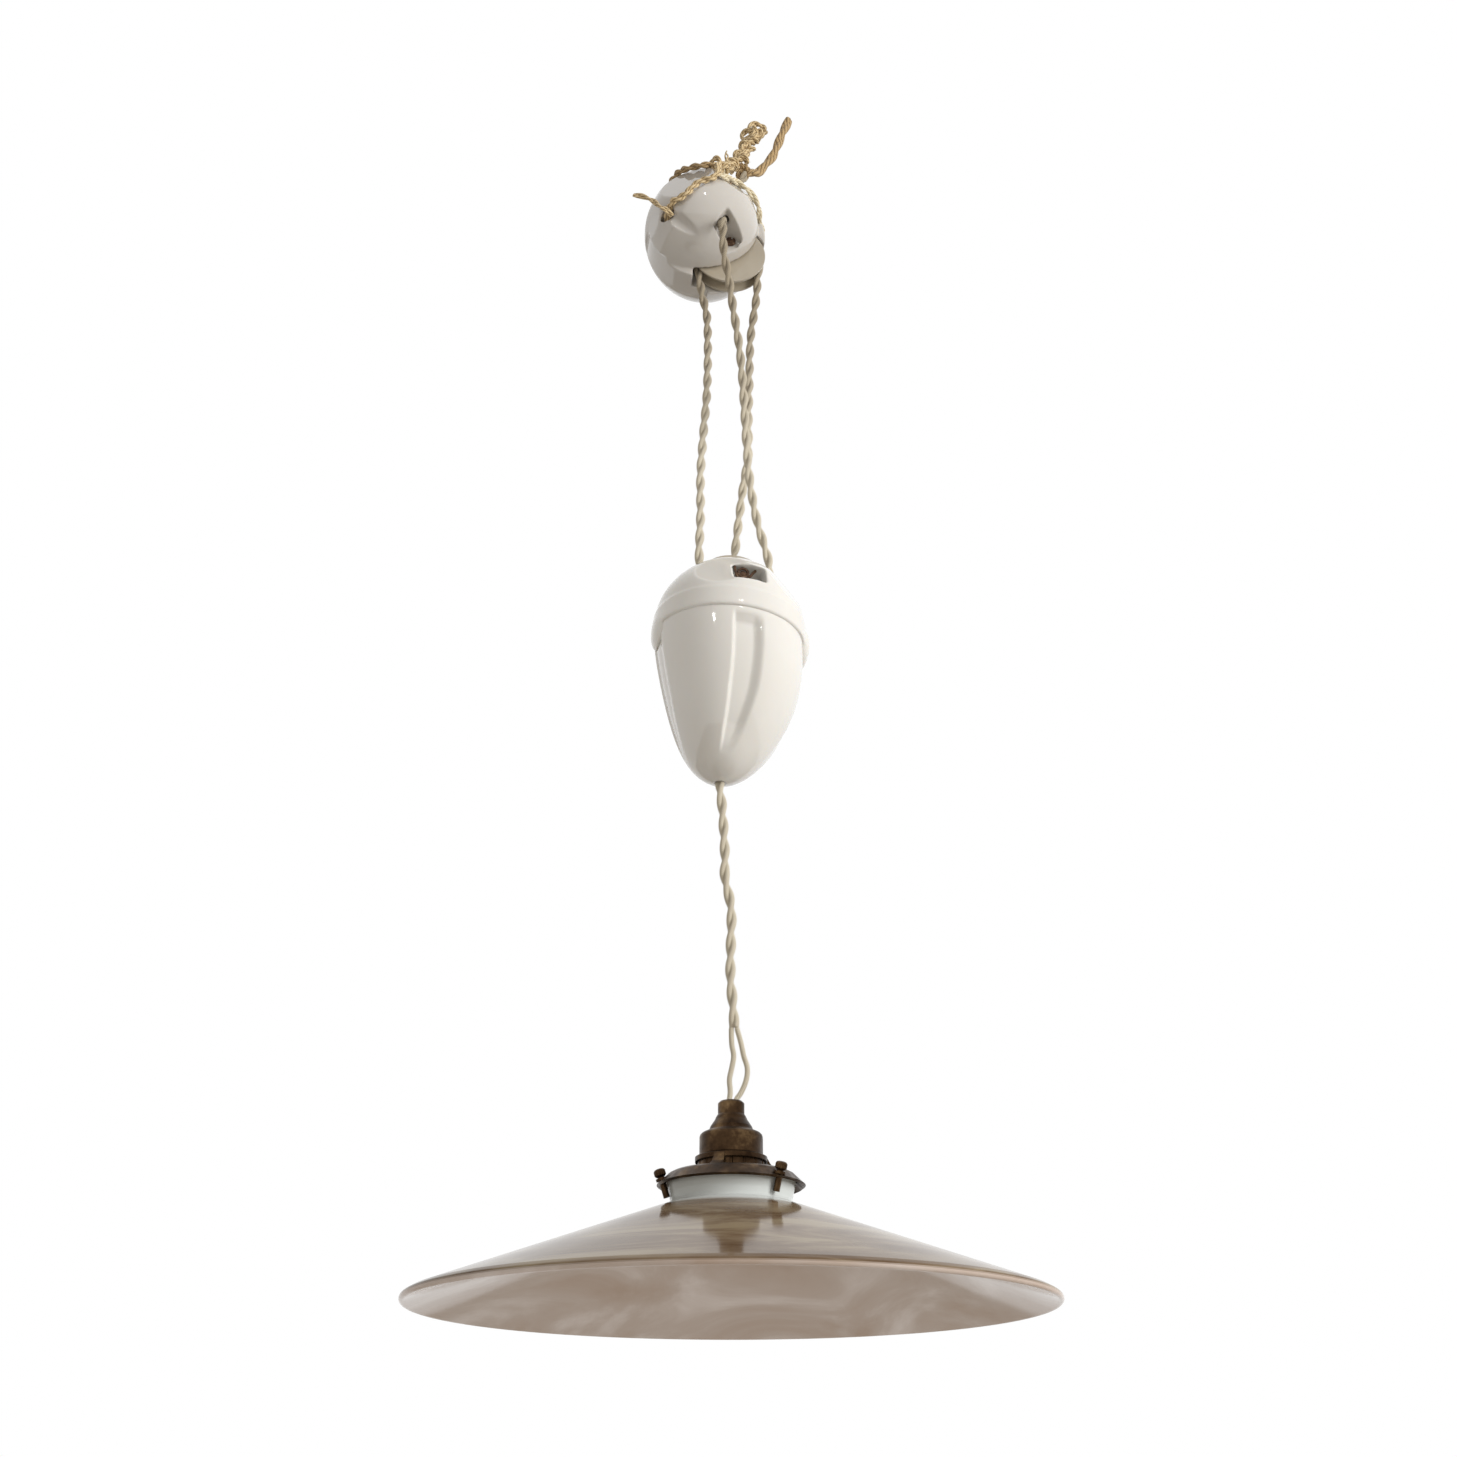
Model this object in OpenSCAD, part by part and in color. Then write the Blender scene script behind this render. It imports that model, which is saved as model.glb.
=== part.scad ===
// Rise and fall pendant: a porcelain pulley block, a porcelain counterweight and a
// glass shade on a brass lampholder, all on one twisted flex.
// The origin is the top of the hanging loop. The lamp hangs beside it, at axis_x.

/* [Drop] */
// Height of the hanging loop above the top of the porcelain block
twine_drop = 61.2; // [58:0.2:80]
// Height of the hanging loop above the axle of the counterweight's wheel
weight_drop = 357; // [340:1:420]
// Height of the hanging loop above the top of the lampholder
lamp_drop = 622; // [600:1:800]

/* [Flex] */
// Width of the twisted pair
flex_d = 5; // [4:0.1:6]
// Diameter of one conductor of the pair
conductor_d = 2.4; // [2:0.1:3]
// Diameter of the old supply flex
supply_d = 5.6; // [5:0.1:6.2]
// Diameter of the hanging twine
twine_d = 4.4; // [3.6:0.1:5]

/* [Wheels] */
// Diameter of the circle that the flex follows round a wheel
pitch_d = 37; // [34:0.5:38]
// Depth of the rim beyond the middle of the flex
rim_depth = 3.5; // [3:0.1:4]
// Thickness of the thin lip at each side of the groove
rim_lip = 1; // [0.8:0.1:1.4]
// Diameter of the iron axles
axle_d = 3.4; // [3:0.1:4]

/* [Pulley block] */
// Width of the porcelain block, along the plane of its wheel
block_w = 73; // [72:1:78]
// Height and depth of the porcelain block
block_h = 78; // [76:1:82]
// How far the raised belt stands out of the block
block_belt = 1.2; // [0.8:0.1:2]
// Width of the raised belt of the block
block_belt_w = 20; // [18:0.5:24]
// Width of the square pocket at the end of the axle
block_pocket = 14; // [12:0.5:15]
// Turn of the block about the vertical
block_turn = 6; // [0:1:10]
// Diameter of the hole that the hanging twine goes through
sling_hole_d = 7; // [6:0.1:8]

/* [Counterweight] */
// Diameter of the counterweight below its cap
weight_d = 78; // [76:1:84]
// Height of the belly of the counterweight, from its tip to the cap
belly_h = 82; // [78:1:90]
// Height of the dome over the belt of the cap
dome_h = 35.5; // [34:0.5:40]
// Height of the belt round the cap
belt_h = 11; // [10:0.5:14]
// How far the belt stands out of the belly
belt_out = 1.4; // [1:0.1:2]
// How far the two ears of the cap stand out of the belt
ear_out = 2; // [1.5:0.1:3]
// Diameter of an ear
ear_d = 29; // [24:1:32]
// Thickness of the porcelain
porcelain_t = 5; // [4:0.5:6]
// Width of a flute at its top
flute_w = 18; // [14:1:20]
// Depth of a flute
flute_depth = 2.4; // [1.5:0.1:3]
// Space between the ballast and the cap
ballast_space = 11; // [10:1:40]
// Turn of the counterweight about the vertical
weight_turn = 13; // [0:1:20]
// Lean of the counterweight about its axle
weight_lean = 3; // [0:0.5:4]

/* [Lampholder] */
// Diameter of the bulb socket
socket_d = 22.3; // [22.1:0.1:22.6]
// Thickness of the socket's brass wall
socket_t = 2.1; // [1.8:0.1:2.4]
// Length of the socket below the gallery
socket_h = 26; // [24:1:30]
// Height of the cap above the gallery
cap_h = 24.6; // [23:0.2:27]
// Diameter of the cord nozzle at the top of the cap
nozzle_d = 12; // [11:0.1:13]
// Length of the nozzle
nozzle_h = 7; // [6:0.5:8]

/* [Gallery] */
// Thickness of the gallery's brass
gallery_t = 1; // [0.8:0.1:1.2]
// Gap between the shade's neck and the edge of the gallery
skirt_gap = 3.3; // [3:0.1:4]
// Height of the gallery, from its seat to its edge
gallery_h = 12.7; // [12:0.1:14]
// Diameter of a thumbscrew's thread
screw_d = 2.9; // [2.5:0.1:3.2]
// Diameter of a thumbscrew's head
screw_head_d = 5.2; // [4.6:0.1:6]
// Slope of a thumbscrew below the horizontal
screw_slope = 72; // [70:1:73]

/* [Shade] */
// Diameter of the glass shade
shade_d = 280; // [220:1:340]
// Slope of the glass cone
shade_slope = 19.5; // [17:0.5:22]
// Thickness of the glass
glass_t = 3; // [2.5:0.1:4]
// Diameter of the shade's neck at its waist
neck_d = 54; // [54:0.5:58]
// How far the lip of the neck flares beyond the waist
neck_flare = 1.7; // [1:0.1:2]
// Height of the neck above the cone
neck_h = 10.6; // [10:0.1:12]

/* [Hidden] */
$fn = 64;

// Clearances
fit = 0.05;
seat_gap = 0.2;
touch = 0.15;
side_gap = 0.8;
rim_gap = 2.4;
cord_gap = 0.4;
stub = 3;

// Places of the three assemblies. The lamp's axis lies beside the hanging loop.
axis_x = -17;
block_x = axis_x - 1.5;
weight_z = -weight_drop;
seat_z = -lamp_drop - cap_h;
ring_r = 15;

// Wheels
flex_r = flex_d / 2;
pitch_r = pitch_d / 2;
rim_r = pitch_r + rim_depth;
groove_r = flex_r + cord_gap;
wheel_half = groove_r + 0.7 + rim_lip;
slot_half = wheel_half + side_gap;
slot_r = rim_r + rim_gap;
axle_r = axle_d / 2;

// Pulley block, seen from the axle of its wheel
block_a = block_w / 2;
block_b = block_h / 2;
block_u = -14.3;
block_v = -2;
block_low = 24.2;
block_w0 = block_b - block_low;
block_top = block_w0 + block_b;
block_z = -twine_drop - block_top;
pocket_turn = 36;
pocket_at = [-2.5, -3];
pocket_floor = slot_half + 8;
axle_end_front = pocket_floor + 1.5;
sling_u = -38;
sling_w = -1;

// Counterweight, in a frame whose origin is the tip
ballast_h = belly_h - ballast_space;
dome_z = belly_h + belt_h;
weight_top = dome_z + dome_h;
weight_r = weight_d / 2;
belt_r = weight_r + belt_out;
ear_z = belly_h + belt_h / 2;
spigot_h = 8;
spigot_gap = 0.25;
spigot_r = weight_r - porcelain_t / 2;
guide_r = flex_r + 1.5;
guide_low = 6;
wheel_v = -7;
axle_up = 107;
web_half = 2;
web_v = wheel_v + slot_half + web_half + 0.4;
lamp_hole_v = web_v + web_half + flex_r + 1.4;
lamp_hole_r = flex_r + 1;
pocket_w = 17;
pocket_h = 15;
pocket_v = wheel_v - slot_half - 7;
lug_w = 8;
lug_h = 4;
lug_out = 1.2;

// Lampholder and gallery, measured from the seat of the gallery
socket_r = socket_d / 2;
barrel_r = socket_r + socket_t;
cap_r = barrel_r + 1;
cap_t = 0.9;
relief_r = socket_r + 0.45;
relief_h = 13.5;
insulator_h = 8;
insulator_z = -8.4;
post_at = 5.6;
post_r = 3;
post_bore = 2.1;
pin_r = post_bore - fit;
pin_out = 3;
spring_wire = 0.3;
spring_r = post_bore - spring_wire - 0.15;
spring_h = 6.7;
spring_turns = 5;
neck_r = neck_d / 2;
lip_r = neck_r + neck_flare;
edge_r = lip_r + skirt_gap + gallery_t;
shoulder_r = lip_r - 2.2;
shoulder_z = -7.5;
seat_hole_r = barrel_r + 0.1;
seat_r = seat_hole_r + 2.4;
lip_z = shoulder_z - gallery_t - 1.9;
neck_z = lip_z - neck_h;
rim_z = neck_z - (shade_d / 2 - neck_r) * tan(shade_slope);
screw_r = screw_d / 2;
screw_az = [-48, 72, -168];
// Where a thumbscrew's axis goes through the skirt
pierce_r = edge_r - 1.9;
pierce_z = -gallery_h + 1.15;
tip_gap = 0.4;
screw_reach = (pierce_r - neck_r - tip_gap) / cos(screw_slope) - screw_r * tan(screw_slope);

// Colours
porcelain = [0.93, 0.93, 0.90];
brass = [0.42, 0.33, 0.20];
iron = [0.25, 0.20, 0.17];
flex_colour = [0.86, 0.80, 0.66];
twine_colour = [0.80, 0.68, 0.48];
glass = [0.86, 0.84, 0.80];

// ---- Frames -------------------------------------------------------------------

// The block's frame: u along its wheel's plane, v back along its axle
module in_block() translate([block_x, 0, block_z]) rotate([0, 0, block_turn]) children();

// The counterweight's frame: the same, about the axle of its own wheel
module in_weight() translate([axis_x, 0, weight_z]) rotate([0, 0, weight_turn])
  rotate([0, weight_lean, 0]) children();

// The frame of the counterweight's body, with its origin at the tip
module from_tip() in_weight() translate([0, 0, -axle_up]) children();

module in_lamp() translate([axis_x, 0, seat_z]) children();

function block_point(p) =
  [block_x + p[0] * cos(block_turn) - p[1] * sin(block_turn),
   p[0] * sin(block_turn) + p[1] * cos(block_turn),
   block_z + p[2]];

function weight_point(p) =
  let (u = p[0] * cos(weight_lean) + p[2] * sin(weight_lean),
       w = -p[0] * sin(weight_lean) + p[2] * cos(weight_lean))
  [axis_x + u * cos(weight_turn) - p[1] * sin(weight_turn),
   u * sin(weight_turn) + p[1] * cos(weight_turn),
   weight_z + w];

// ---- Tubes --------------------------------------------------------------------

function unit(v) = v / norm(v);
function across(v, t) = unit(v - (v * t) * t);

// Direction of a path at its point i
function heading(path, i) =
  unit(path[min(i + 1, len(path) - 1)] - path[max(i - 1, 0)]);

// One direction square to the path at each point, carried along without twist
function normals(path, first) =
  [for (i = 0, n = across(first, heading(path, 0)); i < len(path);
        i = i + 1, n = i < len(path) ? across(n, heading(path, i)) : n) n];

// A round tube along a path; its ends are square to the path
module tube(path, r, sides = 10, first = [0, 1, 0]) {
  count = len(path);
  n = normals(path, first);
  points = [for (i = [0:count - 1], k = [0:sides - 1])
    let (t = heading(path, i), a = 360 * k / sides)
    path[i] + r * (cos(a) * n[i] + sin(a) * cross(t, n[i]))];
  walls = [for (i = [0:count - 2], k = [0:sides - 1])
    let (a = i * sides + k, b = i * sides + (k + 1) % sides)
    each [[a, a + sides, b], [b, a + sides, b + sides]]];
  near = [for (k = [1:sides - 2]) [0, k, k + 1]];
  far = [for (k = [1:sides - 2])
    let (base = (count - 1) * sides) [base, base + k + 1, base + k]];
  polyhedron(points, concat(walls, near, far));
}

// A strand between two points, upright at both ends; each bow is a share of the way
// and a step aside in x and y
function strand(top, bottom, bows) = concat(
  [top, top - [0, 0, stub]],
  [for (b = bows) top + (bottom - top) * b[0] + [b[1], b[2], 0]],
  [bottom + [0, 0, stub], bottom]);

// A smooth path through hand-chosen points, with extra points between them
function smooth(p, steps = 3) =
  [for (i = [0:len(p) - 2], k = [0:steps - 1])
    let (a = p[max(i - 1, 0)], b = p[i], c = p[i + 1], d = p[min(i + 2, len(p) - 1)],
         t = k / steps)
    0.5 * (2 * b + (c - a) * t + (2 * a - 5 * b + 4 * c - d) * t * t
           + (3 * b - a - 3 * c + d) * t * t * t),
   p[len(p) - 1]];

// ---- Wheels -------------------------------------------------------------------

// Grooved wheel; its axis is v and its middle is the origin
module pulley_wheel() rotate([90, 0, 0])
  rotate_extrude() polygon(concat(
    [[axle_r + fit, -wheel_half], [rim_r, -wheel_half], [rim_r, -groove_r - 0.7]],
    [for (a = [-90:-15:-270]) [pitch_r + groove_r * cos(a), groove_r * sin(a)]],
    [[rim_r, groove_r + 0.7], [rim_r, wheel_half], [axle_r + fit, wheel_half]]));

// A rod along v from v0 to v1
module rod_v(r, v0, v1) translate([0, v0, 0]) rotate([-90, 0, 0]) cylinder(h = v1 - v0, r = r);

// Half a turn of flex round a wheel, over it (1) or under it (-1), with upright ends
function half_turn(side) = concat(
  [[pitch_r, 0, -side * stub]],
  [for (k = [0:12]) let (a = 180 * k / 12) [pitch_r * cos(a), 0, side * pitch_r * sin(a)]],
  [[-pitch_r, 0, -side * stub]]);

// ---- Pulley block -------------------------------------------------------------

// The rounded block, a solid of revolution about u, grown by more
module block_form(more = 0) translate([block_u, block_v, block_w0]) rotate([0, 90, 0])
  rotate_extrude() polygon([for (a = [-90:7.5:90])
    [max(0, (block_b + more) * cos(a)), (block_a + more) * sin(a)]]);

module block_body() color(porcelain) in_block() difference() {
  union() {
    block_form();
    intersection() {
      block_form(block_belt);
      translate([block_u - block_w, block_v - block_belt_w / 2, block_w0 - block_h])
        cube([2 * block_w, block_belt_w, 2 * block_h]);
    }
  }
  // Slot for the wheel, open below
  rod_v(slot_r, -slot_half, slot_half);
  translate([-slot_r, -slot_half, -block_h])
    cube([slot_r + block_w, 2 * slot_half, block_h]);
  // Axle hole, and the square pocket at its front end
  rod_v(axle_r + fit, -block_h, slot_half + 9);
  translate([pocket_at[0], 0, pocket_at[1]]) rotate([0, pocket_turn, 0])
    translate([-block_pocket / 2, -block_h, -block_pocket / 2])
      cube([block_pocket, block_h - pocket_floor, block_pocket]);
  // Hole for the sling, from front to back
  translate([sling_u, 0, sling_w]) rod_v(sling_hole_d / 2, -block_h, block_h);
  for (v = [-30, 26]) translate([sling_u + 0.5, v, sling_w + 1.5]) sphere(r = 6);
  // Passage for the feed, from the pocket to the top
  straight_rod(feed_low, feed_high, flex_r + 0.6);
  translate(feed_low) sphere(r = flex_r + 1.6);
}

// Ends of the passage that the feed goes through, and where the feed hangs free
feed_low = [-7, -26, 0.5];
feed_high = [7, -16, 50];
feed_end = [-6.7, -37, -12.5];

// A straight rod or bore between two points
module straight_rod(a, b, r) {
  d = b - a;
  translate(a) rotate([0, acos(d[2] / norm(d)), atan2(d[1], d[0])]) cylinder(h = norm(d), r = r);
}

module block_axle() color(iron) in_block() rod_v(axle_r, -axle_end_front, slot_half + 8.6);

module block_cotters() color(iron) in_block()
  translate([0, -pocket_floor - 0.9, 0]) rotate([0, 20, 0])
    difference() {
      rod_v(axle_r + 1.3, -0.6, 0.6);
      rod_v(axle_r + fit, -1, 1);
      translate([-0.6, -1, 0]) cube([1.2, 2, 6]);
    }

module block_wheel() color(porcelain) in_block() pulley_wheel();

// ---- Hanging twine ------------------------------------------------------------

twine_r = twine_d / 2;
on_dome = twine_r + 0.6;

// The point of the block's surface at u and w, on its front (-1) or its back (1)
function on_block(u, w, side, lift) =
  let (a = block_a + lift, b = block_b + lift, x = (u - block_u) / a, z = (w - block_w0) / b)
  block_point([u, block_v + side * b * sqrt(max(0, 1 - x * x - z * z)), w]);

// A point given by its height above the top of the block
function over_block(p) = block_point([p[0], p[1], block_top + p[2]]);

// Route of the sling: from the knots down the front, through the block, up the back
sling_front = [[-9, 46.5], [-11, 38], [-14, 28], [-19, 17], [-26, 9], [-33, 3.5]];
sling_back = [[-34, 8], [-30, 20], [-24, 32], [-18, 43], [-14, 50], [-12, 54]];
sling_path = concat(
  [block_point([-8, -26.4, block_top - 5.8])],
  [for (p = sling_front) on_block(p[0], p[1], -1, on_dome)],
  [block_point([-37.5, -32, 0.3]), block_point([sling_u, -26, sling_w]),
   for (v = [-16:8:16]) block_point([sling_u, v, sling_w]),
   block_point([-37.5, 26, 0.3])],
  [for (p = sling_back) on_block(p[0], p[1], 1, on_dome)],
  [for (p = [[-11, 7, 3.7], [-7.5, -2, 5.7], [-6.4, -8.4, 5.6]]) over_block(p)]);

module twine_sling() color(twine_colour) tube(smooth(sling_path, 2), twine_r, 8, [1, 0, 0]);

// Route of the turn that goes round the right of the block and back to the knots
wrap_path = [for (p = [[4, -9.3, -0.6], [10, -9, -5], [16, -9, -11], [20.5, -9, -17.8],
                       [24, -8.5, -25.3], [26, -4, -29.3], [26.6, 2, -30.3], [25.5, 7, -28.3],
                       [21, 9.5, -18.8], [16, 11, -12.4], [9, 11, -6.4], [2, 9, -0.2],
                       [-1.4, 2, 4.5], [-1.2, -6.8, 5.5]]) over_block(p)];

module twine_wrap() color(twine_colour) tube(smooth(wrap_path, 2), twine_r, 8, [0, 0, 1]);

// Knots from the top of the block up to the loop: place and radius of each
knots = [[on_block(-6.8, block_top - 1.9, -1, 4.6), 4.2],
         [on_block(-1.3, block_top + 2.6, -1, 6.3), 5],
         [[-15.6, -6, -44], 4.8], [[-10, -4, -34.5], 5.2], [[-7.5, -3, -25.5], 5],
         [[-3.6, -1.5, -17], 5.4], [[-0.5, -0.5, -9.5], 5.2]];
loop_r = 4;
loop_wire_r = 2;

module twine_knots() color(twine_colour) {
  for (k = knots) translate(k[0]) sphere(r = k[1], $fn = 32);
  for (i = [1:len(knots) - 1]) straight_rod(knots[i - 1][0], knots[i][0], twine_r);
  // The top of the chain is the loop that the pendant hangs by
  translate([0, 0, -loop_r - loop_wire_r]) rotate([0, 90, 60]) rotate_extrude(angle = 360)
    translate([loop_r, 0]) circle(r = loop_wire_r, $fn = 16);
}

tail_r = 1.4;
tail_path = [block_point([-40, -33.5, 2.2]), block_point([-43, -33, 4.5]),
             [-63, -35, -103], [-68.5, -34, -99], [-74, -33, -96.8]];

module twine_tail() color(twine_colour) tube(tail_path, tail_r, 8, [0, 1, 0]);

// ---- Supply -------------------------------------------------------------------

supply_path = [[-4.4, -7.2, -51.4], [0, -4.6, -48.6], [5, -4, -41.3], [10, -4, -32.7],
               [13.5, -4, -21.4], [17, -4, -10.9], [20, -4, -2.5]];

module supply_flex() color(twine_colour) tube(supply_path, supply_d / 2, 8, [0, 1, 0]);

module supply_knot() color(twine_colour) translate([-8.4, -10, -53.7])
  sphere(r = 5, $fn = 32);

// The feed comes down its passage, out of the pocket and over the pocket's lip
feed_path = concat(
  [for (p = [[9, -13.4, 2.6], [7.8, -15, -2.8], [5.5, -16.6, -9.3]]) over_block(p)],
  [for (p = [(feed_low + feed_high) / 2, feed_low, [-6.6, -31.5, -2.5], [-6.5, -36, -6],
             [-6.7, -36.9, -9.5], feed_end]) block_point(p)]);

module cord_feed() color(flex_colour) tube(feed_path, flex_r, 8, [1, 0, 0]);

// ---- Flex between the block, the counterweight and the lamp --------------------

left_top = block_point([-pitch_r, 0, -stub - touch]);
right_top = block_point([pitch_r, 0, -stub - touch]);
left_low = weight_point([-pitch_r, wheel_v, stub]) + [0, 0, 2 * touch];
right_low = weight_point([pitch_r, wheel_v, stub]) + [0, 0, 2 * touch];
fixed_top = block_point(feed_end) - [0, 0, touch];
lamp_hole_top = weight_point([0, lamp_hole_v, weight_top - axle_up]) + [0, 0, 2 * touch];
tip_low = weight_point([0, 0, -axle_up]) - [0, 0, 2 * touch];
split_top = [axis_x + 1.4, 0, seat_z + 59];

fixed_bows = [[0.07, -1.2, -0.3], [0.15, 0, 1.8], [0.22, 0.3, 1.6], [0.38, 1.1, 2],
              [0.65, -1.7, 3.8], [0.79, -0.9, 2.9], [0.91, 3, 2.9]];
left_bows = [[0.12, 2.7, 0], [0.21, 5.6, 0], [0.42, 5.1, 0], [0.57, 2.6, 0],
             [0.69, 0.9, 0], [0.81, 0.7, 0], [0.91, -0.2, 0]];
lamp_bows = [[0.13, 0.5, 0], [0.26, -0.6, 0], [0.42, 1.2, 0], [0.53, 2.5, 0],
             [0.64, 4.2, 0], [0.73, 3, 0], [0.85, 2.1, 0], [0.94, 1.5, 0]];
drop_bows = [[0.12, 0.5, 0], [0.32, 0.4, 0], [0.4, -0.2, 0], [0.53, 1.9, 0],
             [0.66, 0.9, 0], [0.8, -0.3, 0], [0.9, 0, 0]];

module cord_fixed_strand() color(flex_colour)
  tube(strand(fixed_top, right_low, fixed_bows), flex_r, 10, [1, 0, 0]);

module cord_left_strand() color(flex_colour)
  tube(strand(left_top, left_low, left_bows), flex_r, 10, [1, 0, 0]);

module cord_lamp_strand() color(flex_colour)
  tube(strand(right_top, lamp_hole_top, lamp_bows), flex_r, 10, [1, 0, 0]);

module cord_drop() color(flex_colour)
  tube(strand(tip_low, split_top, drop_bows), flex_r, 10, [1, 0, 0]);

module cord_block_turn() color(flex_colour) in_block() tube(half_turn(1), flex_r, 10);

module cord_weight_turn() color(flex_colour) in_weight() translate([0, wheel_v, 0])
  tube(half_turn(-1), flex_r, 10);

// Through the counterweight: down behind the wheel, then into the guide
run_path = [[0, lamp_hole_v, weight_top], [0, lamp_hole_v, axle_up - 8],
            [0, lamp_hole_v - 0.7, axle_up - 13], [0, 0.9, axle_up - 25],
            [0, 0, axle_up - 30], [0, 0, 30], [0, 0, 0]];

module cord_weight_run() color(flex_colour) from_tip() tube(run_path, flex_r, 10, [1, 0, 0]);

// The two conductors part above the nozzle, and go down inside to their posts
split_left = [[0.1, 0, 58.5], [0.3, 0, 51], [1.2, 0, 45.5], [0.3, 0, 40], [-0.8, 0, 34.5],
              [-0.4, 0, 29], [-1.3, 0, 22], [-2, 0, 15], [-4.6, 0, 10], [-post_at, 0, 7.6]];
split_right = [[2.7, 0, 58.5], [4.7, 0, 51], [5.8, 0, 45.5], [7.4, 0, 40], [6.9, 0, 34.5],
               [4.7, 0, 29], [2.4, 0, 25.5], [1.3, 0, 21], [2, 0, 15], [4.6, 0, 10],
               [post_at, 0, 7.6]];

// Split collet that grips the flex in the nozzle
module cord_grip() color(porcelain) in_lamp() difference() {
  translate([0, 0, cap_h - 5.6]) cylinder(h = 5, r = nozzle_d / 2 - 1.7);
  for (side = [-1, 1]) translate([side * 1.5, 0, 0]) cylinder(h = 40, r = conductor_d / 2 + 0.4);
  translate([-1.5, -0.9, 0]) cube([3, 1.8, 40]);
}

module cord_split() color(flex_colour) in_lamp() {
  tube(smooth(split_left, 2), conductor_d / 2, 8, [0, 1, 0]);
  tube(smooth(split_right, 2), conductor_d / 2, 8, [0, 1, 0]);
}

// ---- Counterweight ------------------------------------------------------------

// Radius of the belly at height z, drawn in by inset
function belly_r(z, inset = 0) =
  (weight_r - inset) * sqrt(1 - pow(min(1, (belly_h - z) / (belly_h - inset)), 1.56));

module belly_form(inset = 0) rotate_extrude() polygon(concat(
  [[0, inset]],
  [for (k = [1:20])
    let (z = inset + (belly_h - inset) * (1 - cos(90 * k / 20))) [belly_r(z, inset), z]],
  [[0, belly_h]]));

// Radius of the dome at height z above the belt
function dome_r(z, inset = 0) =
  (weight_r - 0.6 - inset) * pow(1 - pow(z / (dome_h - inset), 2.3), 1 / 2.3);

module dome_form(inset = 0) translate([0, 0, dome_z]) rotate_extrude() polygon(concat(
  [[0, 0]],
  [for (k = [0:15]) let (z = (dome_h - inset) * sin(90 * k / 16)) [dome_r(z, inset), z]],
  [[0, dome_h - inset]]));

// A tapered flute cut into the belly on the side at angle a, from its top down
module flute(a, top) rotate([0, 0, a]) rotate([90, 0, 0])
  linear_extrude(weight_d) polygon([
    [-flute_w / 2, top], [-flute_w / 2 + 0.4, top * 0.75], [-flute_w * 0.4, top * 0.5],
    [-flute_w * 0.24, top * 0.3], [0, top * 0.16], [flute_w * 0.24, top * 0.3],
    [flute_w * 0.4, top * 0.5], [flute_w / 2 - 0.4, top * 0.75], [flute_w / 2, top]]);

module weight_body() color(porcelain) from_tip() {
  difference() {
    union() {
      belly_form();
      translate([0, 0, belly_h - 1]) cylinder(h = spigot_h + 1, r = spigot_r);
    }
    // The hollow that holds the ballast
    belly_form(porcelain_t);
    translate([0, 0, belly_h - 1]) cylinder(h = belt_h + 1, r = spigot_r - porcelain_t);
    // The hole at the tip, and the wider bore for the guide above it
    translate([0, 0, -1]) cylinder(h = belly_h, r = flex_r + 0.6);
    translate([0, 0, guide_low - seat_gap]) cylinder(h = belly_h, r = guide_r + fit);
    // Four flutes
    difference() {
      union() {
        flute(0, belly_h - 1.5);
        flute(90, belly_h - 12);
        flute(180, belly_h - 1.5);
        flute(270, belly_h - 12);
      }
      translate([0, 0, -flute_depth]) belly_form(flute_depth);
      translate([0, 0, belly_h]) cylinder(h = 20, r = weight_d);
    }
  }
  // Two lugs that lock into the ears of the cap
  for (side = [-1, 1]) intersection() {
    translate([side * weight_r, 0, ear_z - 8]) cube([2 * lug_out + 4, lug_w, lug_h], center = true);
    difference() {
      translate([0, 0, belly_h - 30]) cylinder(h = 30, r = weight_r + lug_out);
      translate([0, 0, belly_h - 31]) cylinder(h = 32, r = weight_r - 1.2);
    }
  }
}

module weight_cap() color(porcelain) from_tip() difference() {
  union() {
    dome_form();
    translate([0, 0, belly_h + seat_gap]) cylinder(h = belt_h - seat_gap, r = belt_r);
    translate([0, 0, dome_z]) cylinder(h = 1, r1 = belt_r, r2 = belt_r - 1.4);
    // Ears at both ends of the wheel's plane
    intersection() {
      translate([-weight_d, 0, ear_z]) rotate([0, 90, 0])
        cylinder(h = 2 * weight_d, r = ear_d / 2);
      ear_form();
    }
  }
  // Hollow under the dome, and the socket for the body's spigot
  difference() {
    translate([0, 0, -porcelain_t / 2]) dome_form(porcelain_t);
    wheel_carrier();
  }
  difference() {
    translate([0, 0, belly_h - 30]) cylinder(h = 30 + belt_h + 0.1, r = spigot_r - porcelain_t);
    wheel_carrier();
  }
  translate([0, 0, belly_h - 1]) cylinder(h = spigot_h + 1.5, r = spigot_r + spigot_gap);
  translate([0, 0, belly_h - 30]) cylinder(h = 30 + seat_gap, r = weight_r + spigot_gap);
  // Slot for the wheel, open at the top
  translate([-slot_r, wheel_v - slot_half, belly_h - 10])
    cube([2 * slot_r, 2 * slot_half, weight_top]);
  // Axle hole and its pocket
  translate([0, 0, axle_up]) rod_v(axle_r + fit, -weight_d, web_v + web_half - 1);
  translate([-pocket_w / 2, -weight_d, axle_up - pocket_h / 2 - 3.5])
    cube([pocket_w, weight_d + pocket_v, pocket_h]);
  // Way in for the flex that goes on to the lamp
  translate([0, lamp_hole_v, belly_h]) cylinder(h = weight_top, r = lamp_hole_r);
  // Bayonet pockets for the body's lugs
  for (side = [-1, 1]) bayonet(side);
}

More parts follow.
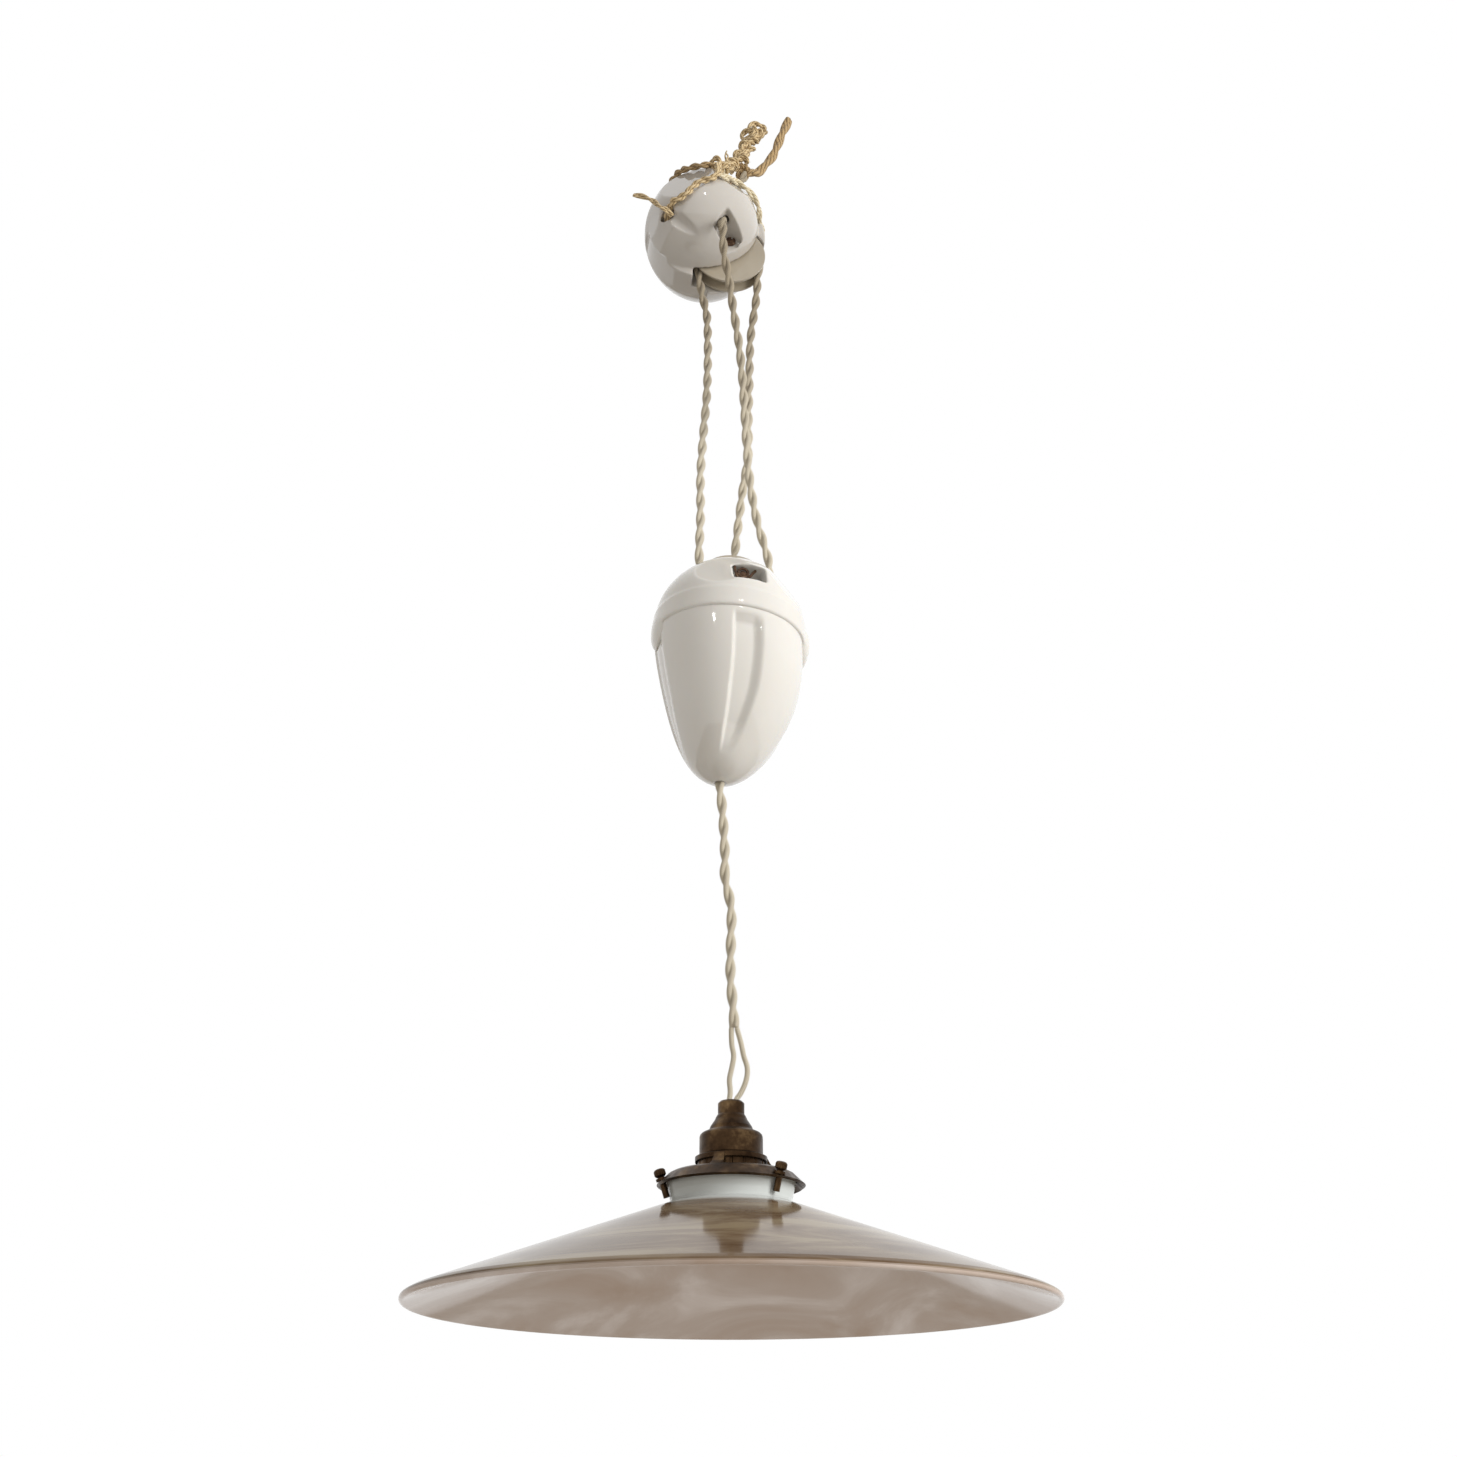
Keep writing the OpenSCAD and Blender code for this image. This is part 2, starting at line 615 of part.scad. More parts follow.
// Outer surface of the ears: it stands out of the belt all round
module ear_form() difference() {
  translate([0, 0, ear_z]) rotate_extrude() polygon(concat(
    [[0, -ear_d / 2]],
    [for (k = [0:12]) let (a = -90 + 180 * k / 12)
      [belt_r - 6 + (6 + ear_out) * pow(cos(a), 0.5), ear_d / 2 * sin(a)]],
    [[0, ear_d / 2]]));
}

// Walls that hang from the dome on both sides of the wheel and hold its axle
module wheel_carrier() {
  carrier_low = axle_up - 9;
  translate([-12, web_v - web_half, carrier_low]) cube([24, 2 * web_half, 60]);
  translate([-12, wheel_v - slot_half - 7, carrier_low]) cube([24, 7, 60]);
  translate([-12, -weight_r, carrier_low]) cube([24, weight_r + wheel_v - slot_half - 6, 60]);
}

// Entry slot and locking pocket of one lug
module bayonet(side) {
  depth = weight_r + lug_out + 0.3;
  intersection() {
    difference() {
      translate([0, 0, belly_h - 30]) cylinder(h = 40, r = depth);
      translate([0, 0, belly_h - 31]) cylinder(h = 42, r = weight_r - 1);
    }
    union() {
      translate([side * weight_r, 0, ear_z - 8])
        cube([14, lug_w + 0.6, lug_h + 0.6], center = true);
      translate([side * weight_r, side * 6, ear_z - 8])
        cube([14, lug_w + 5, lug_h + 0.6], center = true);
    }
  }
}

module weight_ballast() color([0.35, 0.35, 0.37]) from_tip() difference() {
  intersection() {
    translate([0, 0, 0.3]) belly_form(porcelain_t + 0.3);
    translate([0, 0, porcelain_t]) cylinder(h = ballast_h - porcelain_t, r = weight_r);
  }
  translate([0, 0, -1]) cylinder(h = belly_h, r = guide_r + 0.2);
}

module weight_guide() color(iron) from_tip() difference() {
  union() {
    translate([0, 0, guide_low]) cylinder(h = ballast_h + 2 - guide_low, r = guide_r);
    translate([0, 0, ballast_h + 0.2]) cylinder(h = 1.2, r = guide_r + 4);
  }
  translate([0, 0, -1]) cylinder(h = ballast_h + 4, r = flex_r + 0.3);
}

module weight_axle() color(iron) in_weight()
  rod_v(axle_r, pocket_v - 2.5, web_v + web_half - 1.2);

// Bent wire through the axle's front end
module weight_cotter() color(iron) in_weight()
  translate([0, pocket_v - 1.2, 0]) difference() {
    union() {
      rod_v(axle_r + 1, -0.7, 0.7);
      for (a = [-40, 35]) rotate([0, a, 0]) translate([-0.6, -0.6, 0]) cube([1.2, 1.2, 4.2]);
    }
    rod_v(axle_r + fit, -1.5, 1.5);
  }

module weight_wheel() color(porcelain) in_weight() translate([0, wheel_v, 0]) pulley_wheel();

// ---- Lampholder ---------------------------------------------------------------

// Outline of the cap from its rim up to the nozzle, for the outside or the inside
function cap_line(t) = concat(
  [[cap_r - t, 0.3], [cap_r - t, 8]],
  [for (a = [0:22.5:90]) [cap_r - t - 3.4 + 3.4 * cos(a), 8.4 + 2.4 * sin(a)]],
  [[nozzle_d / 2 + 4 - t, 11.6], [nozzle_d / 2 + 3.4 - t, 13.2], [nozzle_d / 2 + 1.4 - t, 16.2],
   [nozzle_d / 2 + 0.8 - t, cap_h - nozzle_h]]);

module holder_cap() color(brass) in_lamp() rotate_extrude() difference() {
  polygon(concat([[0, 0.3]], cap_line(0),
    [[nozzle_d / 2, cap_h - nozzle_h + 1.2], [nozzle_d / 2, cap_h - 1],
     [nozzle_d / 2 - 1, cap_h], [0, cap_h]]));
  translate([0, -cap_t]) polygon(concat([[0, -1], [cap_r - cap_t, -1]], cap_line(cap_t),
    [[nozzle_d / 2 - 1.6, cap_h - nozzle_h + 1.2], [nozzle_d / 2 - 1.6, cap_h + 2],
     [0, cap_h + 2]]));
}

module holder_barrel() color(brass) in_lamp() difference() {
  translate([0, 0, -socket_h]) cylinder(h = socket_h + 6, r = barrel_r);
  translate([0, 0, -socket_h - 1]) cylinder(h = socket_h + 8, r = socket_r);
  translate([0, 0, -relief_h]) cylinder(h = relief_h + 7, r = relief_r);
  for (side = [-1, 1]) bulb_slot(side);
}

// One L-shaped slot for a bulb's pin
module bulb_slot(side) rotate([0, 0, side * 90 - 90]) {
  translate([0, -1.3, -socket_h - 1]) cube([barrel_r + 1, 2.6, 8]);
  translate([0, -1.3, -socket_h + 4.4]) cube([barrel_r + 1, 6, 2.6]);
}

// Porcelain disc with a bore for each post
module holder_insulator() color(porcelain) in_lamp() difference() {
  union() {
    translate([0, 0, insulator_z]) cylinder(h = insulator_h, r = relief_r - 0.1);
    translate([-1, -8, insulator_z + insulator_h - 0.1]) cube([2, 16, 4]);
  }
  for (side = [-1, 1]) translate([side * post_at, 0, insulator_z - 1])
    cylinder(h = insulator_h + 6, r = post_r + fit);
}

module holder_posts() color(brass) in_lamp() for (side = [-1, 1])
  translate([side * post_at, 0, 0]) difference() {
    translate([0, 0, insulator_z - 0.6]) cylinder(h = 15.8, r = post_r);
    translate([0, 0, insulator_z - 1]) cylinder(h = 11.5, r = post_bore);
    translate([0, 0, 4.2]) rotate([90, 0, 0]) cylinder(h = 10, r = 1 + fit);
  }

// Screws that clamp the conductors in the posts
module holder_screws() color(brass) in_lamp() for (side = [-1, 1])
  translate([side * post_at, 0, 4.2]) rotate([90, 0, 0]) union() {
    cylinder(h = post_r + 0.5, r = 1);
    translate([0, 0, post_r + 0.3]) difference() {
      cylinder(h = 1.4, r = 1.9);
      translate([-3, -0.3, 0.8]) cube([6, 0.6, 2]);
    }
  }

// Sprung contact: a pin with a domed tip
module contact(side) color(brass) in_lamp() translate([side * post_at, 0, insulator_z - 0.6])
  rotate_extrude() polygon(concat([[0, -pin_out]],
    [for (a = [15:15:90]) [(pin_r - 0.1) * sin(a), -pin_out + 1 - cos(a)]],
    [[pin_r, -pin_out + 1.3], [pin_r, 3.6], [0, 3.6]]));

module contact_left() contact(-1);
module contact_right() contact(1);

// Coil spring that pushes a contact down
module contact_spring(side) color(iron) in_lamp()
  translate([side * post_at, 0, insulator_z + 3.4])
    tube([for (k = [0:spring_turns * 12])
      [spring_r * cos(30 * k), spring_r * sin(30 * k), spring_h * k / (spring_turns * 12)]],
      spring_wire, 6, [0, 0, 1]);

module spring_left() contact_spring(-1);
module spring_right() contact_spring(1);

// Ring that clamps the gallery against the cap, with grip notches round its edge
module shade_ring() color(brass) in_lamp() difference() {
  translate([0, 0, -5.5]) cylinder(h = 5.5 - gallery_t - touch, r = ring_r);
  translate([0, 0, -6]) cylinder(h = 7, r = barrel_r + fit);
  for (k = [0:15]) rotate([0, 0, k * 22.5]) translate([ring_r + 0.3, 0, -6])
    cylinder(h = 3.6, r = 0.8, $fn = 16);
}

// ---- Gallery ------------------------------------------------------------------

// Outline of the gallery's upper side, from its seat out to its edge
gallery_top = [[seat_hole_r, 0], [seat_r - 0.4, 0], [seat_r + 0.5, -0.5], [seat_r + 1.8, -2.8],
  [seat_r + 3.6, -5], [seat_r + 6, -6.6], [shoulder_r, shoulder_z],
  [shoulder_r + 1.8, shoulder_z - 0.9], [edge_r - 0.4, -gallery_h + 0.2], [edge_r, -gallery_h]];

module gallery() color(brass) in_lamp() difference() {
  union() {
    rotate_extrude() polygon(concat(gallery_top,
      [for (k = [len(gallery_top) - 1:-1:0])
        let (p = gallery_top[k], inward = k == 0 ? 0 : min(0.75 * gallery_t, 0.4 * k))
        [p[0] - inward, p[1] - (k > 8 ? 0.4 : gallery_t)]]));
    for (a = screw_az) at_screw(a) cylinder(h = 1.1, r = screw_r + 1.1);
  }
  for (a = screw_az) at_screw(a) translate([0, 0, -4]) cylinder(h = 10, r = screw_r + fit);
  for (a = screw_az) rotate([0, 0, a]) arch_cut();
}

// Frame of a thumbscrew: its axis is z, pointing out of the gallery
module at_screw(a) rotate([0, 0, a]) translate([pierce_r, 0, pierce_z])
  rotate([0, 90 - screw_slope, 0]) children();

// One curved opening through the dome, between two legs
module arch_cut() {
  inner = seat_r + 0.4;
  outer = shoulder_r - 2.5;
  half = 52;
  rotate([0, 0, -half]) translate([0, 0, -gallery_h - 1]) rotate_extrude(angle = 2 * half)
    translate([inner, 0]) square([outer - inner, gallery_h + 3]);
}

// Screw with a small round head, grooved for the fingers
module thumbscrew(a) color(brass) in_lamp() at_screw(a) {
  head_r = screw_head_d / 2;
  translate([0, 0, -screw_reach]) cylinder(h = screw_reach + 2, r = screw_r);
  difference() {
    rotate_extrude() polygon([[0, 1.6], [head_r - 0.7, 1.6], [head_r, 2.4], [head_r, 4.2],
      [head_r - 0.5, 4.9], [head_r - 1.4, 5.2], [0, 5.2]]);
    for (k = [0:15]) rotate([0, 0, k * 22.5]) translate([head_r + 0.12, 0, 2.1])
      cylinder(h = 2.4, r = 0.32, $fn = 16);
  }
}

module thumbscrew_front() thumbscrew(screw_az[0]);
module thumbscrew_back() thumbscrew(screw_az[1]);
module thumbscrew_left() thumbscrew(screw_az[2]);

// ---- Shade --------------------------------------------------------------------

// Upper side of the glass, from the lip of the neck to the rim
function shade_line() = concat(
  [[lip_r - 1.2, lip_z], [lip_r - 0.3, lip_z - 0.4], [lip_r, lip_z - 1.4],
   [lip_r - 0.4, lip_z - 3.2], [neck_r + 0.5, lip_z - 6], [neck_r, neck_z + 1.6],
   [neck_r + 0.7, neck_z + 0.2]],
  [[shade_d / 2 - glass_t, rim_z + glass_t * tan(shade_slope)]]);

module glass_shade() color(glass) in_lamp() rotate_extrude() polygon(concat(
  shade_line(),
  [for (a = [60:-20:-100])
    [shade_d / 2 - glass_t / 2 + glass_t / 2 * cos(a),
     rim_z - glass_t / 2 + glass_t / 2 * sin(a)]],
  [[neck_r + 1.2, neck_z - glass_t * 1.1], [neck_r - glass_t + 0.3, neck_z - 1.6],
   [neck_r - glass_t, neck_z + 1], [neck_r + 0.5 - glass_t, lip_z - 6],
   [lip_r - glass_t, lip_z - 2.6], [lip_r - glass_t, lip_z - 0.8], [lip_r - glass_t + 0.8, lip_z]]));

// ---- What is drawn ------------------------------------------------------------

block_body();
block_axle();
block_cotters();
block_wheel();
twine_sling();
twine_wrap();
twine_knots();
twine_tail();
supply_flex();
supply_knot();
cord_feed();
cord_fixed_strand();
cord_weight_turn();
cord_left_strand();
cord_block_turn();
cord_lamp_strand();
cord_weight_run();
cord_drop();
cord_split();
cord_grip();
weight_cap();
weight_body();
weight_ballast();
weight_guide();
weight_axle();
weight_cotter();
weight_wheel();
holder_cap();
holder_barrel();
holder_insulator();
holder_posts();
holder_screws();
contact_left();
contact_right();
spring_left();
spring_right();
shade_ring();
gallery();
thumbscrew_front();
thumbscrew_back();
thumbscrew_left();
glass_shade();
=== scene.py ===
"""Looks of the rise and fall pendant: porcelain, twisted cotton flex, hemp twine, brass and glass.
Lengths are in metres, in the row frame: the origin is the top of the hanging loop. Points of a piece
are in millimetres, in the frame of that piece."""

import math
import random

import bmesh
import bpy
from mathutils import Matrix, Vector
from mathutils.bvhtree import BVHTree


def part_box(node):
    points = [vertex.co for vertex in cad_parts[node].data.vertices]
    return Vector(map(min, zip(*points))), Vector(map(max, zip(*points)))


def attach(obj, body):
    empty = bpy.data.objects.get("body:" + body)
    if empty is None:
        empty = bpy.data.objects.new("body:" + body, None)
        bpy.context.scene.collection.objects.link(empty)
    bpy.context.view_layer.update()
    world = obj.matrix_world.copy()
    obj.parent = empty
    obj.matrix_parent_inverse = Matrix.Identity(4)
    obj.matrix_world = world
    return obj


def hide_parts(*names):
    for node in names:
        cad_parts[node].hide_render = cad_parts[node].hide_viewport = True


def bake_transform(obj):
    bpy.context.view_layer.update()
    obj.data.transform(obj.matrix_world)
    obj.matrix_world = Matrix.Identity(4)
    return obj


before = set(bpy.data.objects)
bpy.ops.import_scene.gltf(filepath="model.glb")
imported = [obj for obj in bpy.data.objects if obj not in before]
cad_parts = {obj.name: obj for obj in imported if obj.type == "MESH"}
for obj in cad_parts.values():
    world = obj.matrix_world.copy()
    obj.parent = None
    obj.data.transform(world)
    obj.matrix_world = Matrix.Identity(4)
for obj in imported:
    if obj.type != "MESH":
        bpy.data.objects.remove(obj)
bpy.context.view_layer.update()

MM = 0.001
PORCELAIN = ["block_body", "weight_cap", "weight_body"]
WHEELS = ["block_wheel", "weight_wheel"]
CERAMIC = ["holder_insulator", "cord_grip"]
IRON = ["block_axle", "block_cotters", "weight_axle", "weight_cotter", "weight_ballast",
        "weight_guide", "spring_left", "spring_right"]
BRASS = ["holder_cap", "holder_barrel", "holder_posts", "holder_screws", "contact_left",
         "contact_right", "shade_ring", "gallery", "thumbscrew_front", "thumbscrew_back",
         "thumbscrew_left"]


# ---- Geometry of the frame -----------------------------------------------------

BLOCK = Vector((-18.5, 0, -115)) * MM
BLOCK_TURN = math.radians(6)
WEIGHT = Vector((-17, 0, -357)) * MM
WEIGHT_TURN = math.radians(13)
WEIGHT_LEAN = math.radians(3)
SEAT = Vector((-17, 0, -646.6)) * MM
WHEEL_V = -7
# Where the flex goes into the counterweight, behind its wheel
ENTRY_V = 6.7
AXLE_UP = 107
PITCH_R = 18.5

BLOCK_FRAME = Matrix.Translation(BLOCK) @ Matrix.Rotation(BLOCK_TURN, 4, "Z")
WEIGHT_FRAME = (Matrix.Translation(WEIGHT) @ Matrix.Rotation(WEIGHT_TURN, 4, "Z")
                @ Matrix.Rotation(WEIGHT_LEAN, 4, "Y"))
TIP_FRAME = WEIGHT_FRAME @ Matrix.Translation(Vector((0, 0, -AXLE_UP)) * MM)
LAMP_FRAME = Matrix.Translation(SEAT)
WHOLE_FRAME = Matrix.Identity(4)


def place(points, at=WHOLE_FRAME):
    """Points given in millimetres in the frame at, as vectors in the row frame."""
    return [at @ (Vector(p) * MM) for p in points]


# ---- Curves --------------------------------------------------------------------

SUBSTEPS = 16


def smooth(points, step):
    """Points every step metres along a smooth line through the given points."""
    dense = []
    for i in range(len(points) - 1):
        a = points[max(i - 1, 0)]
        b, c = points[i], points[i + 1]
        d = points[min(i + 2, len(points) - 1)]
        for k in range(SUBSTEPS):
            t = k / SUBSTEPS
            dense.append(0.5 * (2 * b + (c - a) * t + (2 * a - 5 * b + 4 * c - d) * t * t
                                + (3 * b - a - 3 * c + d) * t ** 3))
    dense.append(points[-1].copy())
    length = [0.0]
    for p, q in zip(dense, dense[1:]):
        length.append(length[-1] + (q - p).length)
    count = max(2, round(length[-1] / step))
    out, j = [], 0
    for k in range(count + 1):
        s = length[-1] * k / count
        while j < len(dense) - 2 and length[j + 1] < s:
            j += 1
        span = length[j + 1] - length[j]
        out.append(dense[j].lerp(dense[j + 1], (s - length[j]) / span if span else 0))
    return out


def carried_frames(path, first):
    """Tangent, normal and binormal along a path, carried along without twist."""
    frames, n = [], None
    for i in range(len(path)):
        t = (path[min(i + 1, len(path) - 1)] - path[max(i - 1, 0)]).normalized()
        n = first if n is None else n
        n = (n - t * n.dot(t)).normalized()
        frames.append((t, n, t.cross(n)))
    return frames


def laid(path, radius, lay, phase, first):
    """A strand that winds round a path: radius from it, one turn each lay."""
    out, s = [], 0.0
    for i, (t, n, b) in enumerate(carried_frames(path, first)):
        if i:
            s += (path[i] - path[i - 1]).length
        a = 2 * math.pi * s / lay + phase
        out.append(path[i] + radius * (math.cos(a) * n + math.sin(a) * b))
    return out


# ---- Meshes --------------------------------------------------------------------

def add_mesh(name, points, faces, uvs=None, smooth_faces=True):
    """A mesh object in the scene, from points in the row frame."""
    mesh = bpy.data.meshes.new(name)
    mesh.from_pydata([tuple(p) for p in points], [], faces)
    if uvs:
        layer = mesh.uv_layers.new(name="along")
        layer.data.foreach_set("uv", [x for uv in uvs for x in uv])
    mesh.polygons.foreach_set("use_smooth", [smooth_faces] * len(mesh.polygons))
    mesh.update()
    obj = bpy.data.objects.new(name, mesh)
    bpy.context.scene.collection.objects.link(obj)
    return obj


END_BULGE = 0.35


class Tubes:
    """Collects tubes into one mesh. UV u runs round a tube, and v along it in metres."""

    def __init__(self):
        self.points, self.faces, self.uvs = [], [], []

    def add(self, path, radius, sides=12, first=Vector((0, 1, 0))):
        """Adds a tube with bulging ends. Radius is one number, or a list with one for each ring."""
        radii = radius if isinstance(radius, list) else [radius] * len(path)
        frames = carried_frames(path, first)
        base = len(self.points)
        along = [0.0]
        for p, q in zip(path, path[1:]):
            along.append(along[-1] + (q - p).length)
        for p, (t, n, b), r in zip(path, frames, radii):
            for k in range(sides):
                a = 2 * math.pi * k / sides
                self.points.append(p + r * (math.cos(a) * n + math.sin(a) * b))
        for i in range(len(path) - 1):
            for k in range(sides):
                k2 = (k + 1) % sides
                self.faces.append((base + i * sides + k, base + i * sides + k2,
                                   base + (i + 1) * sides + k2, base + (i + 1) * sides + k))
                u, u2 = k / sides, (k + 1) / sides
                self.uvs += [(u, along[i]), (u2, along[i]), (u2, along[i + 1]), (u, along[i + 1])]
        for ring, sign in ((0, -1), (len(path) - 1, 1)):
            tip = len(self.points)
            self.points.append(path[ring] + sign * END_BULGE * radii[ring] * frames[ring][0])
            for k in range(sides):
                a, c = base + ring * sides + k, base + ring * sides + (k + 1) % sides
                self.faces.append((a, tip, c) if sign < 0 else (c, tip, a))
                self.uvs += [(k / sides, along[ring])] * 3

    def build(self, name):
        return add_mesh(name, self.points, self.faces, self.uvs)


# ---- Materials -----------------------------------------------------------------

def set_input(tree, socket, value):
    """Links an input to a socket, or sets it to a plain value."""
    if isinstance(value, bpy.types.NodeSocket):
        tree.links.new(value, socket)
    else:
        socket.default_value = value


def material(name, colour, roughness, **inputs):
    """A material with a Principled shader. Returns its node tree and the shader too."""
    made = bpy.data.materials.new(name)
    made.use_nodes = True
    shader = made.node_tree.nodes["Principled BSDF"]
    for key, value in dict(Base_Color=(*colour, 1), Roughness=roughness, **inputs).items():
        set_input(made.node_tree, shader.inputs[key.replace("_", " ")], value)
    return made, made.node_tree, shader


def node(tree, kind, **values):
    """Adds a shader node. Each value sets the property of its name or, failing that, the input."""
    made = tree.nodes.new(kind)
    for key, value in values.items():
        if hasattr(made, key):
            setattr(made, key, value)
        else:
            set_input(tree, made.inputs[key.replace("_", " ")], value)
    return made


def arithmetic(tree, operation, *terms):
    """What a math node makes of its terms, which are numbers or sockets."""
    made = node(tree, "ShaderNodeMath", operation=operation)
    for socket, term in zip(made.inputs, terms):
        set_input(tree, socket, term)
    return made.outputs[0]


def ranged(tree, value, low, high):
    """A share that goes from 0 where value is low to 1 where it is high."""
    made = node(tree, "ShaderNodeMapRange", Value=value, From_Min=low, From_Max=high)
    return made.outputs["Result"]


def mixed(tree, share, first, second, blend_type="MIX"):
    """The first colour, with a share of the second."""
    return node(tree, "ShaderNodeMixRGB", blend_type=blend_type, Fac=share, Color1=first,
                Color2=second).outputs["Color"]


def object_place(tree):
    return node(tree, "ShaderNodeTexCoord").outputs["Object"]


def upright(tree, vector):
    """The Z of a vector."""
    return node(tree, "ShaderNodeSeparateXYZ", Vector=vector).outputs["Z"]


def noise(tree, scale, detail=4.0, roughness=0.5, vector=None, distortion=0.0):
    """A noise over the object's place, unless another vector is given."""
    return node(tree, "ShaderNodeTexNoise", Vector=vector or object_place(tree), Scale=scale,
                Detail=detail, Roughness=roughness, Distortion=distortion).outputs["Fac"]


def ramp(tree, source, stops):
    """A colour ramp over source; stops are (place, colour)."""
    made = node(tree, "ShaderNodeValToRGB", Fac=source)
    elements = made.color_ramp.elements
    while len(elements) < len(stops):
        elements.new(0.5)
    for element, (at, colour) in zip(elements, stops):
        element.position = at
        element.color = (*colour, 1)
    return made.outputs["Color"]


def bump(tree, shader, height, strength, distance, edge_radius=None):
    """Bumps a shader by height and, where edge_radius is given, rounds its edges."""
    made = node(tree, "ShaderNodeBump", Strength=strength, Distance=distance, Height=height)
    if edge_radius:
        edges = node(tree, "ShaderNodeBevel", samples=6, Radius=edge_radius)
        tree.links.new(edges.outputs["Normal"], made.inputs["Normal"])
    tree.links.new(made.outputs["Normal"], shader.inputs["Normal"])


def make_porcelain(name, darker, paler):
    """Glazed porcelain that wanders between two colours."""
    made, tree, shader = material(name, paler, 0.07, Coat_Weight=0.4, Coat_Roughness=0.03,
                                  Subsurface_Weight=0.15, Subsurface_Radius=(0.004, 0.003, 0.002))
    tint = ramp(tree, noise(tree, 22, 5), [(0.3, darker), (0.7, paler)])
    tree.links.new(tint, shader.inputs["Base Color"])
    bump(tree, shader, noise(tree, 45, 2), 0.12, 0.6 * MM, 1.1 * MM)
    return made


def make_iron():
    """Iron with patches of rust."""
    made, tree, shader = material("rusty_iron", (0.09, 0.06, 0.045), 0.6, Metallic=0.6)
    tint = ramp(tree, noise(tree, 420, 6, 0.7),
                [(0.35, (0.05, 0.035, 0.03)), (0.55, (0.13, 0.07, 0.04)), (0.72, (0.30, 0.22, 0.15))])
    tree.links.new(tint, shader.inputs["Base Color"])
    bump(tree, shader, noise(tree, 900, 5), 0.5, 0.3 * MM)
    return made


def make_brass():
    """Brass gone brown, rubbed bright in patches."""
    made, tree, shader = material("aged_brass", (0.06, 0.04, 0.02), 0.4, Metallic=1.0)
    tint = ramp(tree, noise(tree, 95, 8, 0.65),
                [(0.34, (0.024, 0.013, 0.007)), (0.52, (0.060, 0.034, 0.017)),
                 (0.66, (0.145, 0.090, 0.044)), (0.78, (0.26, 0.155, 0.075))])
    tree.links.new(tint, shader.inputs["Base Color"])
    gloss = ramp(tree, noise(tree, 260, 6, 0.6),
                 [(0.3, (0.26, 0.26, 0.26)), (0.7, (0.52, 0.52, 0.52))])
    tree.links.new(gloss, shader.inputs["Roughness"])
    bump(tree, shader, noise(tree, 700, 4), 0.18, 0.2 * MM, 0.35 * MM)
    return made


# The cone's underside, painted with shade, goes over to its outside, painted with a warm reflection,
# between these values of the normal's Z
UNDER_Z, OUTSIDE_Z = -0.2, 0.5
# The white of the neck ends this far below the shade's top, over this height
NECK_H = 14.2 * MM
NECK_FADE = 2 * MM
NECK_COLOUR = (0.70, 0.74, 0.74, 1)


def make_glass():
    """White cased glass: bluish at the neck; on the cone, a warm streaked painted reflection on the
    outside and grey painted shade underneath.
    """
    made, tree, shader = material("opal_glass", (0.56, 0.50, 0.45), 0.10, Specular_IOR_Level=0.07)
    at = object_place(tree)
    stretched = node(tree, "ShaderNodeMapping", Vector=at, Scale=(1, 1, 9)).outputs["Vector"]
    # Painted reflection of a warm room, in streaks, on the cone's outside
    outside = ramp(tree, noise(tree, 13, 8, 0.62, stretched, 0.9),
                   [(0.36, (0.125, 0.074, 0.038)), (0.50, (0.20, 0.14, 0.088)),
                    (0.64, (0.33, 0.265, 0.175))])
    # Painted shade on the cone's underside
    under = ramp(tree, noise(tree, 11, 6, 0.55, distortion=1.4),
                 [(0.34, (0.55, 0.435, 0.36)), (0.52, (0.64, 0.55, 0.495)),
                  (0.68, (0.84, 0.77, 0.74))])
    normal = node(tree, "ShaderNodeNewGeometry").outputs["Normal"]
    cone = mixed(tree, ranged(tree, upright(tree, normal), UNDER_Z, OUTSIDE_Z), under, outside)
    neck_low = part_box("glass_shade")[1][2] - NECK_H
    necking = ranged(tree, upright(tree, at), neck_low, neck_low + NECK_FADE)
    tree.links.new(mixed(tree, necking, cone, NECK_COLOUR), shader.inputs["Base Color"])
    bump(tree, shader, noise(tree, 14, 2), 0.15, 2 * MM, 1.2 * MM)
    return made


# How far the threads of a yarn wander, in turns, and how strongly its fibres show
THREAD_WANDER = 0.10
FIBRE_SHARE = 0.8
# The flex gets darker and greyer from the first of these heights up to the second
DARKEN_FROM, DARKEN_TO = -0.26, -0.16
TOP_DARKENING = (0.56, 0.52, 0.47, 1)


def make_yarn(name, dark, light, strand_pitch, ends, depth, fuzz=900, darker_at_top=False):
    """Spun yarn on a tube's UV: ends threads wind round it, one turn each strand_pitch metres.
    Fuzz is the scale of its fibres. Yarn made darker_at_top is greyer towards the top."""
    made, tree, shader = material(name, light, 0.85, Sheen_Weight=0.3, Sheen_Roughness=0.5)
    uv = node(tree, "ShaderNodeUVMap", uv_map="along").outputs["UV"]
    split = node(tree, "ShaderNodeSeparateXYZ", Vector=uv).outputs
    turns = arithmetic(tree, "MULTIPLY", split["Y"], 1 / strand_pitch)
    total = arithmetic(tree, "ADD", split["X"], turns)
    wandering = arithmetic(tree, "MULTIPLY_ADD", noise(tree, 260, 3), THREAD_WANDER, total)
    wave = arithmetic(tree, "SINE", arithmetic(tree, "MULTIPLY", wandering, 2 * math.pi * ends))
    threads = arithmetic(tree, "MULTIPLY_ADD", noise(tree, fuzz, 5, 0.7), FIBRE_SHARE,
                         ranged(tree, wave, -1, 1))
    # The ramp's dark end is partly the fibres' own tone and partly painted shade in the grooves
    # between threads
    colour = ramp(tree, threads, [(0.30, dark), (0.85, light)])
    if darker_at_top:
        height = upright(tree, object_place(tree))
        colour = mixed(tree, ranged(tree, height, DARKEN_FROM, DARKEN_TO), colour, TOP_DARKENING, "MULTIPLY")
    tree.links.new(colour, shader.inputs["Base Color"])
    bump(tree, shader, threads, 0.7, depth)
    return made


def paint(obj, made):
    obj.data.materials.clear()
    obj.data.materials.append(made)


